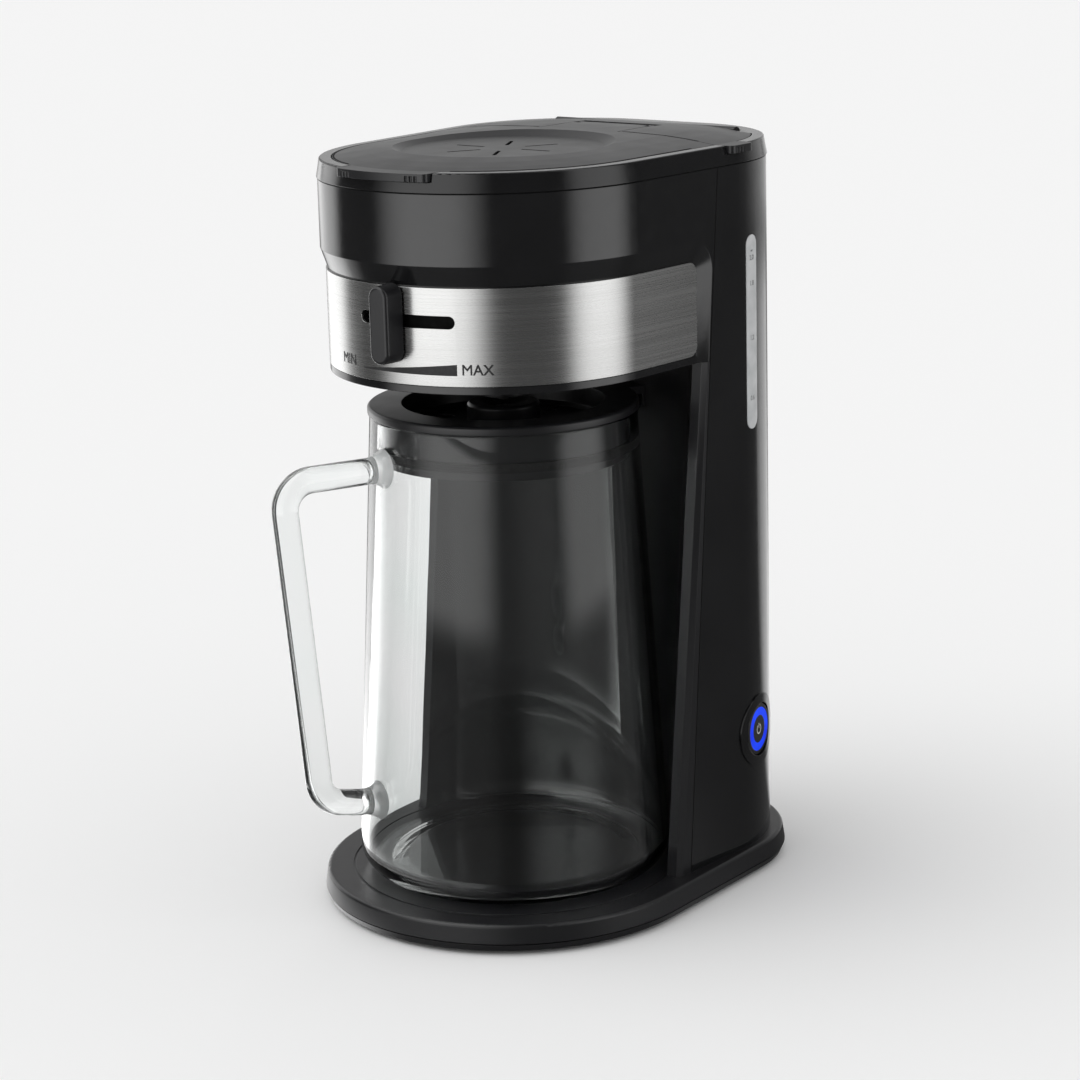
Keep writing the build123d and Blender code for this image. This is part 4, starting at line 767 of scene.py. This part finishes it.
def lid_shade_line(name, node, places):
    """A dark line of painted shade on a lid's top skin through places in plan, each with the direction
    across it, in mm.
    """
    corners = ((-0.45, -0.15), (0.45, -0.15), (0.45, 0.04), (-0.45, 0.04))
    lid = frame["nodes"][node]
    back = lid.matrix_world.inverted()
    rows = []
    for point, across in places:
        row = []
        for t, rise in corners:
            place = AXIS + (point + across * t) * MM
            start = back @ Vector((place.x, place.y, 0.5))
            hit, where, _, _ = lid.ray_cast(start, back.to_3x3() @ -UP)
            if not hit:
                raise ValueError(f"{name} leaves {node} at {tuple(point)}")
            row.append(Vector((place.x, place.y, (lid.matrix_world @ where).z + rise * MM)))
        rows.append(row)
    finished(name, swept(rows), SHADE_BLACK, BODIES[node])


def lid_gap_shade():
    """Painted shade in the gap beside the rim round the front lid, and in the stepped joint between the two
    lids.
    """
    edge = [row for row in front_half(RIM_W + 2 * RIM_GAP) if row[0].y < SEAM_BACK - 1]
    lid_shade_line("lid_gap_shade_right", "brew_lid", [row for row in edge if row[0].x > TAB_HALF])
    lid_shade_line("lid_gap_shade_left", "brew_lid", [row for row in edge if row[0].x < -TAB_HALF])
    for name, side in (("lid_joint_shade_right", 1), ("lid_joint_shade_left", -1)):
        reaches = [side * (TONGUE_HALF + JOINT_L * step / 14) for step in range(15)]
        places = [(Vector((x, SEAM_BACK + 0.9, 0)), Vector((0, 1, 0))) for x in reaches]
        lid_shade_line(name, "tank_lid", places)


bezel_gap_shade()
housing_seam_shade()
lid_gap_shade()

# ---------------------------------------------------------------- finishes of the CAD nodes

# Nodes whose edges show close up, with the edge's radius in mm, and the nodes that keep their own mesh.
SOFT_EDGES = {
    "steel_band": (0.15, STAINLESS),
    "strength_knob": (0.3, SATIN),
    "jug_lid": (0.35, SATIN),
    "jug_lid_valve": (0.4, SATIN),
}
PLAIN = {
    "base_shell": SATIN, "base_plate": SATIN, "front_housing": POLISHED, "column_panel": SATIN,
    "rear_housing": POLISHED, "top_bezel": POLISHED, "brew_lid": SATIN, "tank_lid": SATIN,
    "base_screws": STEEL, "rubber_feet": RUBBER, "brew_hinge_pin": STEEL, "lid_spreader": SATIN,
    # The selector slider wears the dead black of painted shade, for the shade deep in its slot.
    "tank_hinge_pins": STEEL, "selector_slider": SHADE_BLACK, "brew_basket": SATIN, "filter_cup": MESH,
    "valve_retainer": SATIN, "drip_valve": RUBBER, "jug_lid_seal": RUBBER, "gauge_window": FROSTED,
    "power_bezel": POLISHED, "power_button": SATIN, "light_ring": BLUE, "power_switch": NYLON,
    "water_tank": STYRENE, "heater": ALUMINIUM, "heater_bracket": STEEL, "thermostat": NYLON,
    "check_valve": NYLON, "feed_hose": SILICONE, "riser_hose": SILICONE, "cord_gland": RUBBER,
    "gland_nut": NYLON,
}


def sprung_coil():
    """The spring over the drip valve, which the valve shortens by its own lift on the machine; here a
    smooth copy with a mesh of its own.
    """
    shape = bmesh.new()
    shape.from_mesh(frame["nodes"]["valve_spring"].data)
    bmesh.ops.remove_doubles(shape, verts=shape.verts, dist=0.005 * MM)
    smooth(shape)
    piece = finished("valve_coil", shape, STEEL, BODIES["valve_spring"])
    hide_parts("valve_spring")
    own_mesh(piece)


sprung_coil()
for node, (edge, finish) in SOFT_EDGES.items():
    softened(node, edge, finish)
for node, finish in PLAIN.items():
    mesh = frame["nodes"][node].data
    mesh.materials.clear()
    mesh.materials.append(finish)

# ---------------------------------------------------------------- floor, light and camera


def mirrored(tree):
    """1 on a path that has come off a polished surface, 0 for a straight look, also through glass."""
    path = add(tree, "ShaderNodeLightPath").outputs
    bounces = {0: path["Glossy Depth"], 1: 1.0}
    scattered = {0: 1.0, 1: path["Is Diffuse Ray"]}
    polished = add(tree, "ShaderNodeMath", bounces, operation="MINIMUM").outputs[0]
    clean = add(tree, "ShaderNodeMath", scattered, operation="SUBTRACT").outputs[0]
    return add(tree, "ShaderNodeMath", {0: polished, 1: clean}, operation="MULTIPLY").outputs[0]


# Soft upright panels round the object, as polished surfaces mirror them: azimuth from the front
# towards +X, half width and soft edge in degrees, brightness, and the stretch of floor that shows
# them, from a near to a far distance in metres. Between the panels the room is dark. A direction
# above the floor counts as a place at WALL_REACH.
PANELS = (
    (-5, 20, 22, 1.95, 1, 9),
    (107, 14, 14, 1.65, 1, 9),
    (-102, 8, 17, 1.6, 0, 9),
    (-90, 12, 14, 0.9, 0, 1.25),
    (181, 6, 14, 1.0, 0, 2),
    (200, 34, 26, 0.7, 2.4, 9),
    (-58, 48, 14, 1.5, 0, 0.125),
)
BETWEEN = 0.09
WALL_REACH = 5.0

# Brightness of the panels high above the floor, of the backdrop and of the room's even light.
PANEL_TOPS = 0.65
BACKDROP = 0.905
ROOM = 0.76


def studio_panels(tree, way, reach):
    """Brightness of the panels in a direction, or on the floor at a reach in metres from the object."""
    flat = add(tree, "ShaderNodeVectorMath", {0: way, 1: (1, 1, 0)}, operation="MULTIPLY").outputs[0]
    flat = add(tree, "ShaderNodeVectorMath", {0: flat}, operation="NORMALIZE").outputs[0]
    total = BETWEEN
    for azimuth, half, soft, bright, near, far in PANELS:
        a = math.radians(azimuth)
        ways = {0: flat, 1: (math.sin(a), -math.cos(a), 0)}
        facing = add(tree, "ShaderNodeVectorMath", ways, operation="DOT_PRODUCT").outputs["Value"]
        rise = limits(reach, 0.75 * near, 1.1 * near + 0.001, 0.05 * bright, bright)
        peak = add(tree, "ShaderNodeMapRange", rise, interpolation_type="SMOOTHSTEP").outputs[0]
        fall = limits(reach, 0.8 * far, 1.15 * far, peak, 0.0)
        peak = add(tree, "ShaderNodeMapRange", fall, interpolation_type="SMOOTHSTEP").outputs[0]
        outer, inner = (math.cos(math.radians(half + side * soft)) for side in (1, -1))
        edge = limits(facing, outer, inner, 0.0, peak)
        panel = add(tree, "ShaderNodeMapRange", edge, interpolation_type="SMOOTHSTEP").outputs[0]
        total = add(tree, "ShaderNodeMath", {0: total, 1: panel}, operation="ADD").outputs[0]
    return total


def stage_floor():
    """A wide pale floor. Seen straight or through glass it is pale; polished plastic mirrors the panels."""
    shape = bmesh.new()
    bmesh.ops.create_grid(shape, x_segments=1, y_segments=1, size=12)
    mesh = bpy.data.meshes.new("floor")
    shape.to_mesh(mesh)
    shape.free()
    made, tree, shader, place = material("pale_floor")
    off_gloss = mirrored(tree)
    from_axis = add(tree, "ShaderNodeVectorMath", {0: place, 1: AXIS}, operation="SUBTRACT").outputs[0]
    reach = add(tree, "ShaderNodeVectorMath", {0: from_axis}, operation="LENGTH").outputs["Value"]
    glow = {0: studio_panels(tree, from_axis, reach), 1: off_gloss}
    paint = {"Factor": off_gloss, 6: linear("#f4f4f4"), 7: linear("#000000")}
    feed(tree, shader, {
        "Base Color": add(tree, "ShaderNodeMix", paint, data_type="RGBA").outputs[2],
        "Roughness": 0.9,
        "Specular IOR Level": 0.0,
        "Emission Color": linear("#ffffff"),
        "Emission Strength": add(tree, "ShaderNodeMath", glow, operation="MULTIPLY").outputs[0],
    })
    mesh.materials.append(made)
    floor = bpy.data.objects.new("floor", mesh)
    bpy.context.scene.collection.objects.link(floor)


def world_light():
    """Even white light. Polished surfaces see the same panels, dimmer above the horizon."""
    world = bpy.data.worlds.new("studio")
    bpy.context.scene.world = world
    world.use_nodes = True
    tree = world.node_tree
    way = add(tree, "ShaderNodeTexCoord").outputs["Generated"]
    height = add(tree, "ShaderNodeSeparateXYZ", {"Vector": way}).outputs["Z"]
    dimming = limits(height, 0.0, 0.2, 1.0, PANEL_TOPS)
    fade = add(tree, "ShaderNodeMapRange", dimming, interpolation_type="SMOOTHSTEP").outputs[0]
    glow = {0: studio_panels(tree, way, WALL_REACH), 1: fade}
    panels = add(tree, "ShaderNodeMath", glow, operation="MULTIPLY").outputs[0]
    path = add(tree, "ShaderNodeLightPath").outputs
    direct = {0: path["Is Camera Ray"], 1: path["Is Transmission Ray"]}
    seen = add(tree, "ShaderNodeMath", direct, operation="MAXIMUM").outputs[0]
    ceiling = limits(height, 0.35, 0.85, BACKDROP, 0.05)
    backdrop = add(tree, "ShaderNodeMapRange", ceiling, interpolation_type="SMOOTHSTEP").outputs[0]
    level = add(tree, "ShaderNodeMix", {"Factor": seen, "A": ROOM, "B": backdrop}).outputs[0]
    level = add(tree, "ShaderNodeMix", {"Factor": mirrored(tree), "A": level, "B": panels}).outputs[0]
    feed(tree, tree.nodes["Background"], {"Color": linear("#ffffff"), "Strength": level})


def soft_sun():
    """A broad lamp high on the front left, which gives the shadow its direction."""
    lamp = bpy.data.lights.new("soft_sun", "SUN")
    lamp.energy = 0.9
    lamp.angle = math.radians(50)
    lamp.specular_factor = 0.0
    holder = bpy.data.objects.new("soft_sun", lamp)
    holder.rotation_euler = Vector((-0.45, -0.4, 1)).to_track_quat("Z", "Y").to_euler()
    bpy.context.scene.collection.objects.link(holder)


def standing_camera():
    """The camera: 38.5 degrees right of the front and 14.3 up, aimed by where the axis's foot falls."""
    azimuth, elevation, roll = (math.radians(v) for v in (38.5, 14.3, -1.5))
    focal, sensor, depth = 97.21, 36.0, 1.3761
    foot = Vector((517.2, 883.3))
    picture = 1080
    level = Vector((math.cos(azimuth), math.sin(azimuth), 0))
    inward = Vector((-math.sin(azimuth), math.cos(azimuth), 0))
    back = UP * math.sin(elevation) - inward * math.cos(elevation)
    rise = back.cross(level)
    right = level * math.cos(roll) + rise * math.sin(roll)
    up = rise * math.cos(roll) - level * math.sin(roll)
    offset = (foot - Vector((picture / 2, picture / 2))) / picture * sensor / focal * depth
    place = AXIS + back * depth - right * offset.x + up * offset.y
    data = bpy.data.cameras.new("camera")
    data.lens = focal
    data.sensor_width = sensor
    camera = bpy.data.objects.new("camera", data)
    camera.matrix_world = Matrix((right, up, back)).transposed().to_4x4()
    camera.location = place
    bpy.context.scene.collection.objects.link(camera)
    bpy.context.scene.camera = camera


stage_floor()
world_light()
soft_sun()
standing_camera()
bpy.context.scene.view_settings.view_transform = "Standard"
